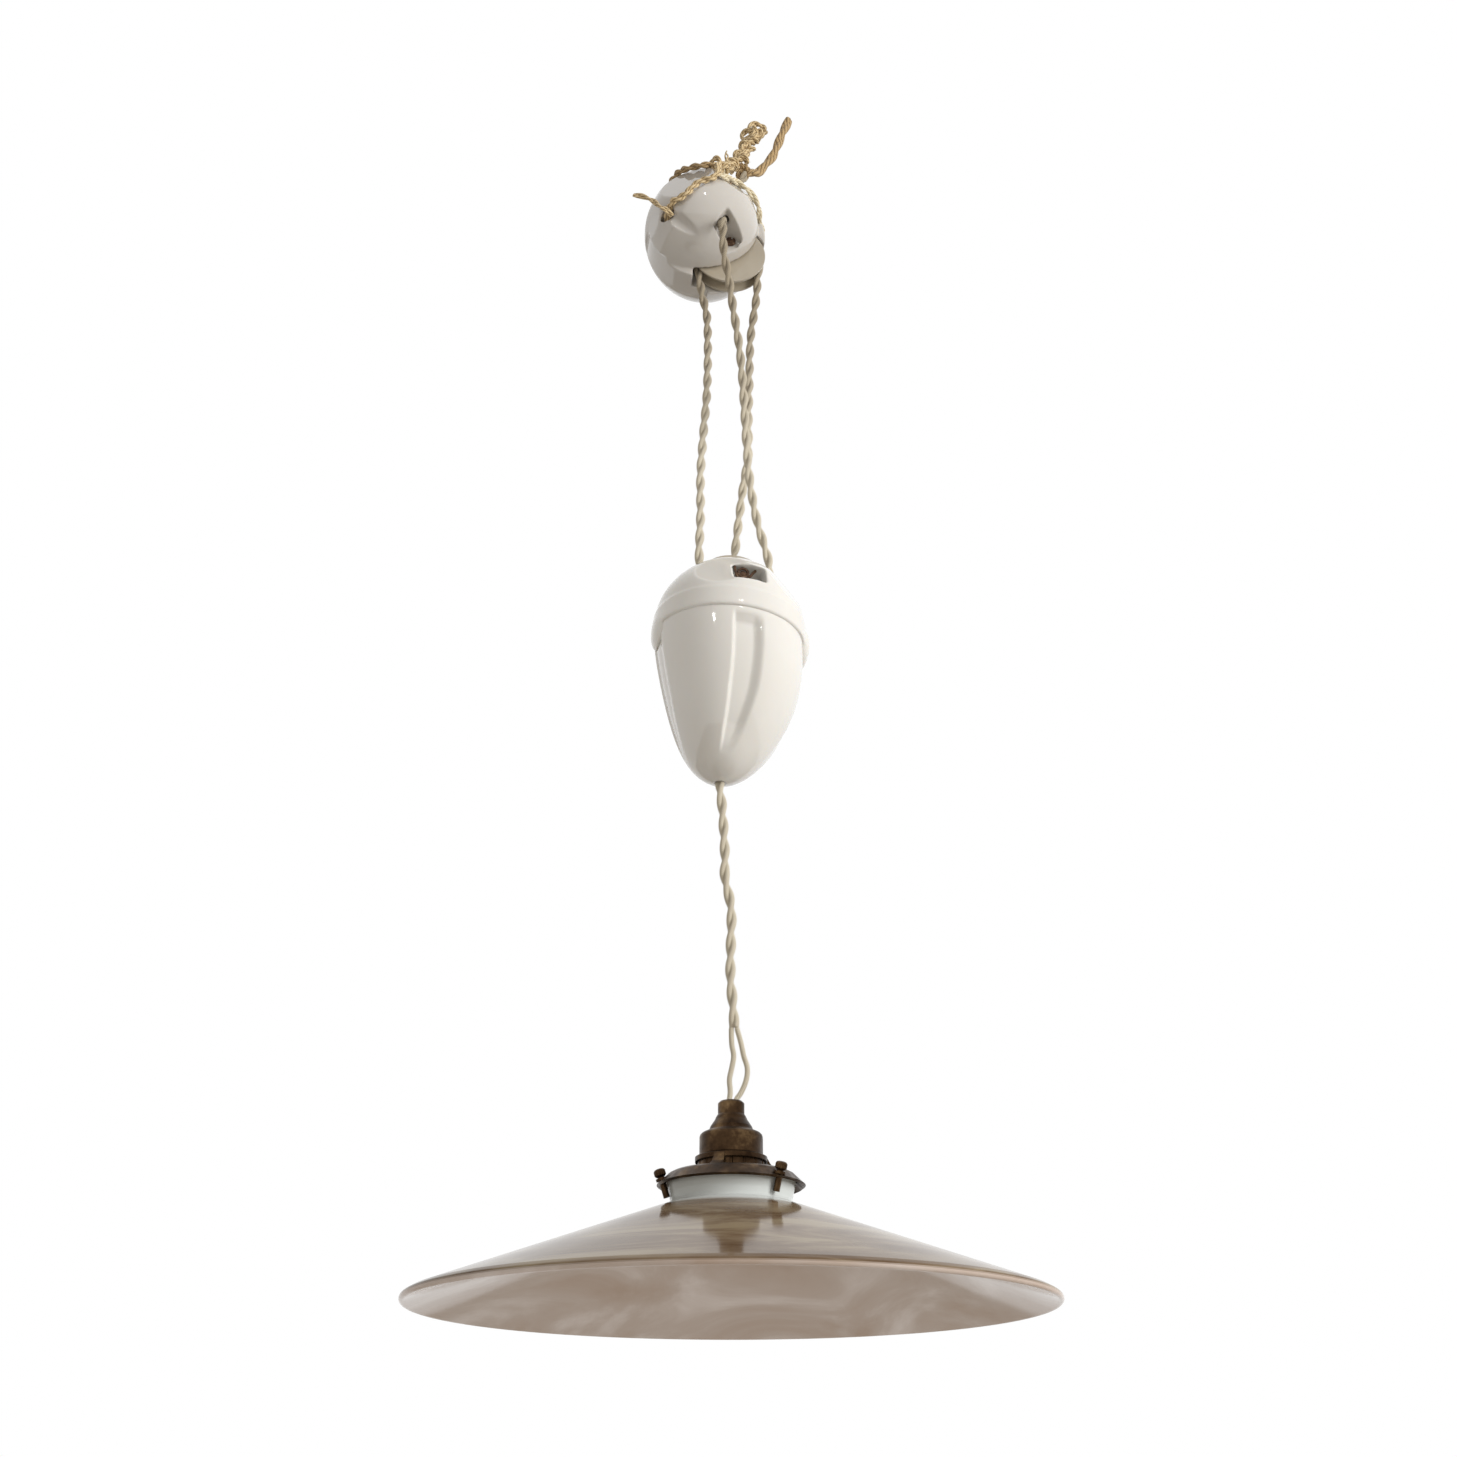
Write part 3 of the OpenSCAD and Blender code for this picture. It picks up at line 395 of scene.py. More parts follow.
porcelain = make_porcelain("porcelain", (0.80, 0.79, 0.755), (0.84, 0.835, 0.81))
# A darker copy of the porcelain: painted shade for the block, which hangs in shade
painted_shade_porcelain = make_porcelain("painted_shade_porcelain", (0.55, 0.525, 0.49), (0.62, 0.60, 0.57))
# A darker copy of the porcelain: painted shade for the wheels, which sit in shade in their slots
wheel_painted_shade_porcelain = make_porcelain("wheel_painted_shade_porcelain", (0.40, 0.35, 0.27), (0.50, 0.45, 0.36))
ceramic = material("ceramic", (0.72, 0.70, 0.64), 0.45)[0]
iron = make_iron()
brass = make_brass()
glass = make_glass()
cotton = make_yarn("cotton", (0.38, 0.31, 0.20), (0.98, 0.92, 0.76), 4.8 * MM, 5, 0.6 * MM, 1500,
                   darker_at_top=True)
hemp = make_yarn("hemp", (0.24, 0.145, 0.055), (0.78, 0.62, 0.37), 11 * MM, 3, 0.35 * MM, 1100)
pale_hemp = make_yarn("pale_hemp", (0.50, 0.38, 0.20), (0.88, 0.80, 0.60), 10 * MM, 3, 0.35 * MM)
worn = make_yarn("worn_cotton", (0.13, 0.075, 0.03), (0.52, 0.37, 0.19), 16 * MM, 4, 0.3 * MM)

# The wheels get the darker porcelain of painted shade
for names, made in ((PORCELAIN, porcelain), (WHEELS, wheel_painted_shade_porcelain), (CERAMIC, ceramic),
                    (IRON, iron), (BRASS, brass), (["glass_shade"], glass)):
    for name in names:
        paint(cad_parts[name], made)


# ---- Carved porcelain ----------------------------------------------------------

VOXEL = 0.62 * MM
# How far a cutter reaches, well past any piece
CUTTER = 90
# Cutters that meet keep this far off each other's planes, so that the result stays closed
OFF_PLANE = 0.02


def solid_from(bm, at):
    """A bare object from a bmesh made in millimetres in the frame at."""
    mesh = bpy.data.meshes.new("solid")
    bm.transform(at @ Matrix.Scale(MM, 4))
    bm.to_mesh(mesh)
    bm.free()
    obj = bpy.data.objects.new("solid", mesh)
    bpy.context.scene.collection.objects.link(obj)
    return obj


def ball(centre, semi, at):
    """An ellipsoid, by its middle and its three half widths."""
    bm = bmesh.new()
    bmesh.ops.create_uvsphere(bm, u_segments=96, v_segments=64, radius=1)
    bm.transform(Matrix.Translation(centre) @ Matrix.Diagonal((*semi, 1)))
    return solid_from(bm, at)


def rod(radius, start, end, at, end_radius=None):
    """A round bar between two points, tapered if end_radius is given."""
    start, end = Vector(start), Vector(end)
    bm = bmesh.new()
    bmesh.ops.create_cone(bm, cap_ends=True, segments=96, radius1=radius,
                          radius2=radius if end_radius is None else end_radius,
                          depth=(end - start).length)
    turn = (end - start).to_track_quat("Z", "Y").to_matrix().to_4x4()
    bm.transform(Matrix.Translation((start + end) / 2) @ turn)
    return solid_from(bm, at)


def brick(low, high, at, turn=Matrix.Identity(4)):
    """A box between two corners, turned about the origin of the frame."""
    low, high = Vector(low), Vector(high)
    bm = bmesh.new()
    bmesh.ops.create_cube(bm, size=1)
    bm.transform(turn @ Matrix.Translation((low + high) / 2) @ Matrix.Diagonal((*(high - low), 1)))
    return solid_from(bm, at)


def beyond(centre, normal, distance, at):
    """All that lies further than distance from centre along normal."""
    turn = Vector(normal).to_track_quat("Z", "Y").to_matrix().to_4x4()
    return brick((-CUTTER, -CUTTER, distance), (CUTTER, CUTTER, distance + CUTTER), at,
                 Matrix.Translation(centre) @ turn)


def applied(obj, kind, **values):
    """Gives an object a modifier and applies it."""
    modifier = obj.modifiers.new(kind, kind)
    for key, value in values.items():
        setattr(modifier, key, value)
    bpy.context.view_layer.update()
    graph = bpy.context.evaluated_depsgraph_get()
    mesh = bpy.data.meshes.new_from_object(obj.evaluated_get(graph))
    obj.modifiers.clear()
    old, obj.data = obj.data, mesh
    bpy.data.meshes.remove(old)


def combine(obj, operation, *others):
    """Adds, cuts or keeps what obj shares with each of the others, which are used up."""
    for other in others:
        applied(obj, "BOOLEAN", operation=operation, object=other, solver="EXACT")
        used = other.data
        bpy.data.objects.remove(other)
        bpy.data.meshes.remove(used)
    return obj


def glazed(obj, name, body, node_name, rounds, made=porcelain):
    """Softens a carved piece as a thick glaze does, and puts it in a node's place."""
    applied(obj, "REMESH", mode="VOXEL", voxel_size=VOXEL)
    applied(obj, "SMOOTH", factor=0.5, iterations=rounds)
    applied(obj, "DECIMATE", ratio=0.35)
    obj.name = name
    obj.data.polygons.foreach_set("use_smooth", [True] * len(obj.data.polygons))
    paint(obj, made)
    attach(obj, body)
    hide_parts(node_name)
    return obj


BLOCK_CENTRE = Vector((-14.3, -2, 14.8))
BLOCK_SEMI = (36.5, 39, 39)
CHEEK_CENTRE = (-22, -5, 20)
CHEEK_SEMI = (39.5, 36, 34.5)
# Flats at the top left, the top right and the left: which way each faces, and how far out it is
BLOCK_FLATS = (((-0.42, -0.82, 0.39), 34), ((0.50, -0.72, 0.48), 34.4), ((-0.93, -0.33, -0.1), 35.3))
SLOT_HALF = 5.4
SLOT_R = 23.2
DRUM_R = 35
DRUM_FRONT, DRUM_BACK = -9.5, 12
AXLE_BORE = 1.75
POCKET_HALF = 6.6
POCKET_AT = (-2.5, 0, -1.8)
POCKET_TURN = math.radians(36)
WEB_T = 8
FLEX_HOLE = (-7, -26, 0.5)


def carve_block():
    """The pulley block, as one closed shell."""
    at = BLOCK_FRAME
    block = ball(BLOCK_CENTRE, BLOCK_SEMI, at)
    # The front cheek is smaller at its lower right, so that the wheel shows. What trims it stops
    # inside the slot, so that no thin sheet is left
    cheek = combine(ball(CHEEK_CENTRE, CHEEK_SEMI, at), "UNION",
                    brick((-80, -SLOT_HALF + 0.5, -80), (80, 80, 80), at))
    combine(block, "INTERSECT", cheek)
    combine(block, "DIFFERENCE",
            *[beyond(BLOCK_CENTRE, normal, distance, at) for normal, distance in BLOCK_FLATS])
    # What is cut away round the drum, which is seen between the cheek and the back flange
    reach = Vector((0, CUTTER, 0))
    around = combine(brick((-CUTTER, DRUM_FRONT, -CUTTER), (-12, DRUM_BACK, 8), at), "DIFFERENCE",
                     rod(DRUM_R, BLOCK_CENTRE - reach, BLOCK_CENTRE + reach, at))
    combine(block, "DIFFERENCE", around)
    # The wheel's slot, open below and to the right, and the axle's bore
    thin, thinner = SLOT_HALF - OFF_PLANE, SLOT_HALF - 2 * OFF_PLANE
    slot = combine(rod(SLOT_R, (0, -SLOT_HALF, 0), (0, SLOT_HALF, 0), at), "UNION",
                   brick((-21.5, -thin, -70), (70, thin, -1), at),
                   brick((5, -thinner, -8), (70, thinner, 10), at))
    combine(block, "DIFFERENCE", slot, rod(AXLE_BORE, (0, -CUTTER, 0), (0, SLOT_HALF + 9, 0), at))
    # The square pocket in the cheek, at the axle's end
    pocket_turn = Matrix.Translation(POCKET_AT) @ Matrix.Rotation(POCKET_TURN, 4, "Y")
    combine(block, "DIFFERENCE",
            brick((-POCKET_HALF, -CUTTER, -POCKET_HALF),
                  (POCKET_HALF, -SLOT_HALF - WEB_T, POCKET_HALF), at, pocket_turn))
    # The sling's hole with its two mouths, and the flute that runs down from the front one
    combine(block, "DIFFERENCE",
            rod(3.3, (-39.6, -50, 8.6), (-38, 2, -1), at),
            rod(3.5, (-38.2, -4, -1.2), (-36.5, 60, 15), at),
            ball((-38.6, -29, 4.3), (4.4, 4.4, 4.4), at),
            ball((-37.4, 27, 7.2), (5, 5, 5), at),
            rod(5.5, (-40.5, -34.5, 0.5), (-20, -28.3, -11.2), at, 3.6))
    # The flex's way from the pocket to the top
    combine(block, "DIFFERENCE",
            rod(3.1, FLEX_HOLE, (7, -16, 50), at),
            ball(FLEX_HOLE, (4.1, 4.1, 4.1), at))
    # The block takes the darker porcelain of painted shade
    return glazed(block, "block_shell", "root", "block_body", 5, painted_shade_porcelain)


WEIGHT_R = 39
BELLY_H = 82
BELLY_POWER = 1.75
# How far the belly leans to the right at half its height
BELLY_LEAN = 2.7
SHELL_T = 5
TIP_HOLE_R = 3.1
FLUTE_DEEP = 3.4
# The flutes at the sides, as a share of the depth of those at the front and the back
SIDE_FLUTE = 0.25
FLUTE_TURN = math.radians(-3)
# How far a flute reaches to the left and the right of its middle, at heights above the tip
FLUTE_LEFT = [(9, 6.6), (20, 8.2), (40, 9.4), (62, 9.0), (82, 8.4)]
FLUTE_RIGHT = [(9, 0.6), (20, 3.4), (40, 6.8), (62, 8.2), (82, 8.2)]
# The widths of a flute's walls: left, right, lower end, upper end
LEFT_WALL, RIGHT_WALL, LOW_WALL, HIGH_WALL = 1.6, 5.5, 14, 5
FLUTE_LOW = 9
FLUTE_HIGH = BELLY_H - 3.5
BELT_H = 11
BELT_R = 40.4
BELT_TOP = BELLY_H + BELT_H
DOME_R = 39.3
DOME_H = 35.5
DOME_POWER = 1.8
# Flats at the front left and the front right of the dome, as for the block
DOME_FLATS = (((-0.30, -0.80, 0.52), 34.4), ((0.62, -0.58, 0.52), 34.8))
EAR_OUT = 36.9
EAR_UP = BELLY_H + BELT_H / 2 - 4.3
EAR_SEMI = (5, 13, 11.8)


def curve_through(points, x):
    """The height at x of a line through (x, height) points."""
    for (x0, y0), (x1, y1) in zip(points, points[1:]):
        if x <= x1:
            return y0 + (y1 - y0) * max(0, x - x0) / (x1 - x0)
    return points[-1][1]


def share_of(part, whole):
    return min(1, max(0, part / whole))


def eased(share):
    return share * share * (3 - 2 * share)


def belly_radius(up, inset=0):
    """The belly's radius at a height above its tip, or that of a hollow inset from it."""
    from_top = share_of(BELLY_H - up, BELLY_H - inset)
    return (WEIGHT_R - inset) * math.sqrt(max(0, 1 - from_top ** BELLY_POWER))


def flute_depth(angle, up):
    """How deep a flute is at an angle and a height: a steep left wall, and a soft right one."""
    turn = (angle + math.pi / 4) % (math.pi / 2) - math.pi / 4
    aside = turn * belly_radius(up)
    left = share_of(aside + curve_through(FLUTE_LEFT, up), LEFT_WALL)
    right = share_of(curve_through(FLUTE_RIGHT, up) - aside, RIGHT_WALL)
    ends = share_of(up - FLUTE_LOW, LOW_WALL) * share_of(FLUTE_HIGH - up, HIGH_WALL)
    side = 1 if abs(math.sin(angle)) > abs(math.cos(angle)) else SIDE_FLUTE
    return FLUTE_DEEP * side * ends * eased(left) * eased(right)


def belly_outline():
    """Rings of the belly, up its outside and down its inside: (radius, height, is it outside)."""
    outline = [(TIP_HOLE_R, 0.4, True), (TIP_HOLE_R, 0.404, True)]
    outer, inner = 96, 20
    for k in range(3, outer + 1):
        up = BELLY_H * (1 - math.cos(math.pi / 2 * k / outer)) ** 0.92
        outline.append((belly_radius(up), up, True))
    # The collar that goes up into the cap
    outline += [(36.5, BELLY_H + 0.2, False), (36.5, BELLY_H + 8, False), (31.5, BELLY_H + 8, False)]
    for k in range(inner, 0, -1):
        up = SHELL_T + (BELLY_H - SHELL_T) * (1 - math.cos(math.pi / 2 * k / inner))
        outline.append((max(TIP_HOLE_R, belly_radius(up, SHELL_T)), up, False))
    return outline


def carve_weight_body():
    """The belly, as a lathe would turn it, with its flutes pressed in."""
    segments = 384
    outline = belly_outline()
    points, faces = [], []
    for radius, up, outside in outline:
        lean = BELLY_LEAN * math.sin(math.pi * min(1, up / BELLY_H)) ** 1.2
        for k in range(segments):
            angle = 2 * math.pi * k / segments
            r = radius - (flute_depth(angle + FLUTE_TURN, up) if outside else 0)
            points.append((r * math.cos(angle) + lean, r * math.sin(angle), up))
    rows = len(outline)
    for i in range(rows):
        for k in range(segments):
            k2, j = (k + 1) % segments, (i + 1) % rows
            faces.append((i * segments + k, i * segments + k2, j * segments + k2, j * segments + k))
    obj = add_mesh("weight_shell", place(points, TIP_FRAME), faces)
    paint(obj, porcelain)
    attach(obj, "counterweight")
    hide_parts("weight_body")


def turned(outline, segments, at):
    """A solid of revolution, closed with a flat face at both ends; outline is (radius, height)."""
    bm = bmesh.new()
    grid = [[bm.verts.new((r * math.cos(a), r * math.sin(a), up))
             for a in (2 * math.pi * k / segments for k in range(segments))] for r, up in outline]
    for low, high in zip(grid, grid[1:]):
        for k in range(segments):
            k2 = (k + 1) % segments
            bm.faces.new((low[k], low[k2], high[k2], high[k]))
    bm.faces.new(grid[-1])
    bm.faces.new(list(reversed(grid[0])))
    return solid_from(bm, at)


def carve_weight_cap():
    """The cap: belt, dome and ears, with the wheel's carrier left standing in its hollow."""
    at = TIP_FRAME
    high = CUTTER + 60
    outline = [(38.7, BELLY_H - 1.2), (BELT_R - 0.3, BELLY_H - 0.8), (BELT_R, BELLY_H + 0.6),
               (BELT_R - 0.2, BELT_TOP - 1.5), (BELT_R - 0.9, BELT_TOP)]
    rings = 28
    for k in range(1, rings + 1):
        up = DOME_H * math.sin(math.pi / 2 * k / (rings + 1))
        shrink = (1 - (up / DOME_H) ** DOME_POWER) ** (1 / DOME_POWER)
        outline.append((DOME_R * shrink, BELT_TOP + up))
    cap = turned(outline, 128, at)
    for side in (-1, 1):
        combine(cap, "UNION", ball((side * EAR_OUT + 1, 0, EAR_UP), EAR_SEMI, at))
    middle = Vector((0, 0, BELT_TOP))
    combine(cap, "DIFFERENCE",
            *[beyond(middle, normal, distance, at) for normal, distance in DOME_FLATS])
    hollow = combine(rod(36.8, (0, 0, BELLY_H - CUTTER), (0, 0, BELT_TOP - 1), at), "UNION",
                     ball((0, 0, BELT_TOP - 3), (32, 32, 29), at))
    carrier = combine(brick((-12, 0.8, 98), (12, 4.8, high), at), "UNION",
                      brick((-12, -37, 98), (12, -12.4, high), at))
    combine(hollow, "DIFFERENCE", carrier)
    # The hollow, the wheel's slot, the axle's bore and its pocket, and the flex's way in
    combine(cap, "DIFFERENCE", hollow,
            brick((-24.4, -12.4, BELLY_H - 10), (24.4, -1.6, high), at),
            rod(AXLE_BORE, (0, -CUTTER, AXLE_UP), (0, 3.8, AXLE_UP), at),
            brick((-6.2, -CUTTER, 98.6), (10.8, -19.4, 111.4), at),
            rod(3.5, (0, ENTRY_V, BELLY_H), (0, ENTRY_V, high), at))
    glazed(cap, "weight_dome", "counterweight", "weight_cap", 6)


def bend_cotter():
    """The axle's end, with a bent wire through it."""
    tubes = Tubes()
    tubes.add(place([(0, -21, 0), (0, -25.5, 0), (0, -28.5, 0)], WEIGHT_FRAME), 1.9 * MM, 20,
              Vector((1, 0, 0)))
    wire = [(-4.8, -27.6, 4.8), (-4.0, -27.8, 1.5), (-2.6, -28, -2.2), (0.6, -28, -3.2),
            (3.2, -27.8, -1.2), (5.4, -27.4, 2.2), (6.8, -26.8, 4.0)]
    tubes.add(smooth(place(wire, WEIGHT_FRAME), 0.4 * MM), 0.75 * MM, 10)
    ring = [(2.6 * math.cos(a), -28.2, 2.6 * math.sin(a) + 0.6)
            for a in (2 * math.pi * k / 20 for k in range(21))]
    tubes.add(smooth(place(ring, WEIGHT_FRAME), 0.4 * MM), 0.7 * MM, 10)
    obj = tubes.build("weight_wire")
    paint(obj, iron)
    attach(obj, "counterweight")
    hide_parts("weight_cotter")


block_shell = carve_block()
carve_weight_body()
carve_weight_cap()
bend_cotter()


# ---- Flex ----------------------------------------------------------------------

CONDUCTOR_R = 1.3 * MM
PAIR_R = 1.22 * MM
PAIR_LAY = 24.5 * MM
RING_STEP = 0.9 * MM


def twisted_pair(path, phase, first, name):
    """Two conductors twisted round a path, painted as the flex."""
    tubes = Tubes()
    for k in range(2):
        line = laid(path, PAIR_R, PAIR_LAY, phase + math.pi * k, first)
        tubes.add(line, CONDUCTOR_R, first=first)
    obj = tubes.build(name)
    paint(obj, cotton)
    return obj


def bowed(top, bottom, bows):
    """The route of a span: each bow is a share of the way and a step aside, in millimetres."""
    stub = Vector((0, 0, 3 * MM))
    points = [top, top - stub]
    for share, x, y in bows:
        points.append(top.lerp(bottom, share) + Vector((x, y, 0)) * MM)
    return points + [bottom + stub, bottom]


LEFT_TOP = place([(-PITCH_R, 0, -3)], BLOCK_FRAME)[0]
RIGHT_TOP = place([(PITCH_R, 0, -3)], BLOCK_FRAME)[0]
LEFT_LOW = place([(-PITCH_R, WHEEL_V, 3)], WEIGHT_FRAME)[0]
RIGHT_LOW = place([(PITCH_R, WHEEL_V, 3)], WEIGHT_FRAME)[0]
FEED_END = (-6.7, -37, -12.5)
FIXED_TOP = place([FEED_END], BLOCK_FRAME)[0]
LAMP_HOLE = place([(0, ENTRY_V, 21.5)], WEIGHT_FRAME)[0]
TIP = place([(0, 0, -AXLE_UP)], WEIGHT_FRAME)[0]
SPLIT_TOP = place([(1.4, 0, 59)], LAMP_FRAME)[0]

FIXED_BOWS = [(0.07, -1.2, -0.3), (0.15, 0, 1.8), (0.22, 0.3, 1.6), (0.38, 1.1, 2),
              (0.65, -1.7, 3.8), (0.79, -0.9, 2.9), (0.91, 3, 2.9)]
LEFT_BOWS = [(0.12, 2.7, 0), (0.21, 5.6, 0), (0.42, 5.1, 0), (0.57, 2.6, 0),
             (0.69, 0.9, 0), (0.81, 0.7, 0), (0.91, -0.2, 0)]
LAMP_BOWS = [(0.13, 0.5, 0), (0.26, -0.6, 0), (0.42, 1.2, 0), (0.53, 2.5, 0),
             (0.64, 4.2, 0), (0.73, 3, 0), (0.85, 2.1, 0), (0.94, 1.5, 0)]
DROP_BOWS = [(0.12, 0.5, 0), (0.32, 0.4, 0), (0.4, -0.2, 0), (0.53, 1.9, 0),
             (0.66, 0.9, 0), (0.8, -0.3, 0), (0.9, 0, 0)]
STRETCH_PARTS = 4


def stretch(name, top, bottom, bows, node_name, phase=0.0):
    """A span between two bodies, cut by height into parts."""
    path = smooth(bowed(top, bottom, bows), RING_STEP)
    whole = twisted_pair(path, phase, Vector((1, 0, 0)), name)
    mesh = whole.data
    high, low = path[0].z, path[-1].z
    parts = [split_part(whole, f"{name}_{k + 1}", high, low, k) for k in range(STRETCH_PARTS)]
    bpy.data.objects.remove(whole)
    bpy.data.meshes.remove(mesh)
    for k, part in enumerate(parts):
        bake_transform(part)
    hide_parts(node_name)


def split_part(obj, name, high, low, k):
    """Part k of a span, by the height of its faces."""
    mesh = obj.data
    uv = mesh.uv_layers["along"].data
    keep = []
    for face in mesh.polygons:
        share = (high - face.center.z) / (high - low)
        if min(STRETCH_PARTS - 1, max(0, int(share * STRETCH_PARTS))) == k:
            keep.append(face)
    used = sorted({v for f in keep for v in f.vertices})
    index = {v: i for i, v in enumerate(used)}
    uvs = [tuple(uv[l].uv) for f in keep for l in f.loop_indices]
    part = add_mesh(name, [mesh.vertices[v].co for v in used],
                    [tuple(index[v] for v in f.vertices) for f in keep], uvs)
    paint(part, cotton)
    return part


stretch("fixed_strand", FIXED_TOP, RIGHT_LOW, FIXED_BOWS,
        "cord_fixed_strand")
stretch("left_strand", LEFT_TOP, LEFT_LOW, LEFT_BOWS,
        "cord_left_strand", 0.8)
stretch("lamp_strand", RIGHT_TOP, LAMP_HOLE, LAMP_BOWS,
        "cord_lamp_strand", 2.0)
stretch("drop", TIP, SPLIT_TOP, DROP_BOWS, "cord_drop", 0.4)


def half_turn(side):
    """Round a wheel, over it (1) or under it (-1), in millimetres in the wheel's frame."""
    points = [(PITCH_R, 0, -3 * side)]
    for k in range(13):
        a = math.pi * k / 12
        points.append((PITCH_R * math.cos(a), 0, side * PITCH_R * math.sin(a)))
    return points + [(-PITCH_R, 0, -3 * side)]


WHEEL_FRAME = WEIGHT_FRAME @ Matrix.Translation(Vector((0, WHEEL_V, 0)) * MM)
RUN = [(0, ENTRY_V, 128.5), (0, ENTRY_V, 99), (0, 6, 94), (0, 0.9, 82), (0, 0, 77), (0, 0, 30),
       (0, 0, 0)]
FEED = [(9, -13.4, 56.4), (7.8, -15, 51), (5.5, -16.6, 44.5), (0, -21, 25.2), FLEX_HOLE,
        (-6.6, -31.5, -2.5), (-6.5, -36, -6), (-6.7, -36.9, -9.5), FEED_END]

for name, points, at, body, node_name in (
        ("block_turn", half_turn(1), BLOCK_FRAME, "root", "cord_block_turn"),
        ("weight_turn", half_turn(-1), WHEEL_FRAME, "counterweight", "cord_weight_turn"),
        ("weight_run", RUN, TIP_FRAME, "counterweight", "cord_weight_run"),
        ("feed", FEED, BLOCK_FRAME, "root", "cord_feed")):
    obj = twisted_pair(smooth(place(points, at), RING_STEP), 0.0, Vector((0, 1, 0)), name)
    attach(obj, body)
    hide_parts(node_name)

SPLIT_LEFT = [(0.1, 0, 58.5), (0.3, 0, 51), (1.2, 0, 45.5), (0.3, 0, 40), (-0.8, 0, 34.5),
              (-0.4, 0, 29), (-1.3, 0, 22), (-2, 0, 15), (-4.6, 0, 10), (-5.6, 0, 7.6)]
SPLIT_RIGHT = [(2.7, 0, 58.5), (4.7, 0, 51), (5.8, 0, 45.5), (7.4, 0, 40), (6.9, 0, 34.5),
               (4.7, 0, 29), (2.4, 0, 25.5), (1.3, 0, 21), (2, 0, 15), (4.6, 0, 10), (5.6, 0, 7.6)]
tubes = Tubes()
for points in (SPLIT_LEFT, SPLIT_RIGHT):
    tubes.add(smooth(place(points, LAMP_FRAME), RING_STEP), 1.2 * MM)
split = tubes.build("split_conductors")
paint(split, cotton)
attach(split, "lamp")
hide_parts("cord_split")


# ---- Twine ---------------------------------------------------------------------

TWINE_R = 2.1 * MM
# Each ply's radius as a share of the rope's, so that the two plies press into each other
PLY_SHARE = 0.52

shell_tree = BVHTree.FromPolygons([v.co for v in block_shell.data.vertices],
                                  [tuple(p.vertices) for p in block_shell.data.polygons])


def snug(points, lift):
    """Rough points in the block's frame, each moved to lie lift millimetres above its surface."""
    moved = []
    for point in place(points, BLOCK_FRAME):
        surface, normal, _, _ = shell_tree.find_nearest(point)
        moved.append(surface + normal * lift * MM)
    return moved


def add_rope(tubes, path, radius, lay, phase=0.0, first=Vector((0.3, 1, 0.2)), taper=0.0):
    """Adds a rope of two plies laid round a path. Its last end is thinner by the share taper."""
    ply = radius * PLY_SHARE
    for k in range(2):
        line = laid(path, radius - ply, lay, phase + math.pi * k, first)
        radii = [ply * (1 - taper * i / (len(line) - 1)) for i in range(len(line))]
        tubes.add(line, radii, 9, first)


def add_fibres(tubes, path, reach, count, seed):
    """Adds stray fibres that stand off a rope."""
    rng = random.Random(seed)
    for _ in range(count):
        i = rng.randrange(2, len(path) - 2)
        t = (path[i + 1] - path[i - 1]).normalized()
        out = Vector((rng.uniform(-1, 1), rng.uniform(-1, 1), rng.uniform(-1, 1)))
        out = (out - t * out.dot(t)).normalized()
        way = t * rng.choice((-1, 1))
        size = rng.uniform(0.5, 1.0) * reach
        line = [path[i] + out * size * (0.30 + 0.5 * s * s) + way * size * 1.6 * s
                for s in (0, 0.25, 0.5, 0.75, 1)]
        tubes.add(line, [0.16 * MM, 0.15 * MM, 0.13 * MM, 0.10 * MM, 0.05 * MM], 5)


def knot_line(centre, size, turn, tilt):
    """An overhand knot drawn up round its centre, as one closed line."""
    spin = Matrix.Rotation(turn, 3, "Y") @ Matrix.Rotation(tilt, 3, "X")
    points = []
    for i in range(49):
        a = 2 * math.pi * i / 48
        p = Vector((math.sin(a) + 2 * math.sin(2 * a), -1.1 * math.sin(3 * a),
                    math.cos(a) - 2 * math.cos(2 * a)))
        points.append(centre + spin @ (p * size / 3))
    return smooth(points, 0.7 * MM)


FRONT_LEG = (place([(-8.5, -28, 47), (-9.5, -35, 39)], BLOCK_FRAME)
             + snug([(-10.3, -38, 30), (-11.5, -38.5, 24), (-14.8, -40, 19.8), (-18.4, -39.8, 18),
                     (-22, -39, 15), (-27.4, -38, 10), (-31, -36.1, 8), (-34.4, -33.2, 7.6)], 2.2)
             + place([(-37.4, -30, 7.4), (-38.6, -26.5, 4.6), (-38.5, -18, 2.6), (-38, -8, -0.2)],
                     BLOCK_FRAME))
BACK_LEG = (place([(-38, -8, -0.2), (-38, 0, -1), (-37.5, 14, 3), (-37, 26, 7.5)], BLOCK_FRAME)
            + snug([(-38, 29, 12), (-38, 24, 22), (-37, 15, 32), (-35, 4, 40), (-33, -8, 44),
                    (-30, -18, 44), (-26.5, -25, 43.5), (-22, -28, 43), (-17, -30, 41)], 2.6)
            + place([(-12, -29, 45), (-8.5, -27, 47)], BLOCK_FRAME))
WRAP = (snug([(-10.5, -38.5, 25), (-6, -36.5, 26), (-1.8, -31.5, 31), (2.7, -26, 35),
              (6, -24, 34), (9, -21.5, 31), (12, -17, 28), (15, -11, 27), (18, -4, 27),
              (19, 4, 28), (17, 11, 31), (13, 15, 37), (8, 13, 43), (3, 6, 49), (-2, -4, 53),
              (-5, -14, 50), (-7, -22, 46)], 1.9)
        + place([(-8, -28, 47)], BLOCK_FRAME))
CHAIN = place([(-8.5, -28, 46), (-3, -17, 57), (2.9, -6.3, 71), (8.5, -5, 80.5), (11, -4, 89.5),
               (14.9, -3, 98), (17.8, -2.4, 104)], BLOCK_FRAME)
CHAIN_SIZES = [5.8, 4.2, 4.2, 4.8, 4.6, 4.8, 4.2]
SPIKE = place([(-3, -17, 57), (-2.6, -17.5, 63), (-2.9, -18, 69.5)], BLOCK_FRAME)
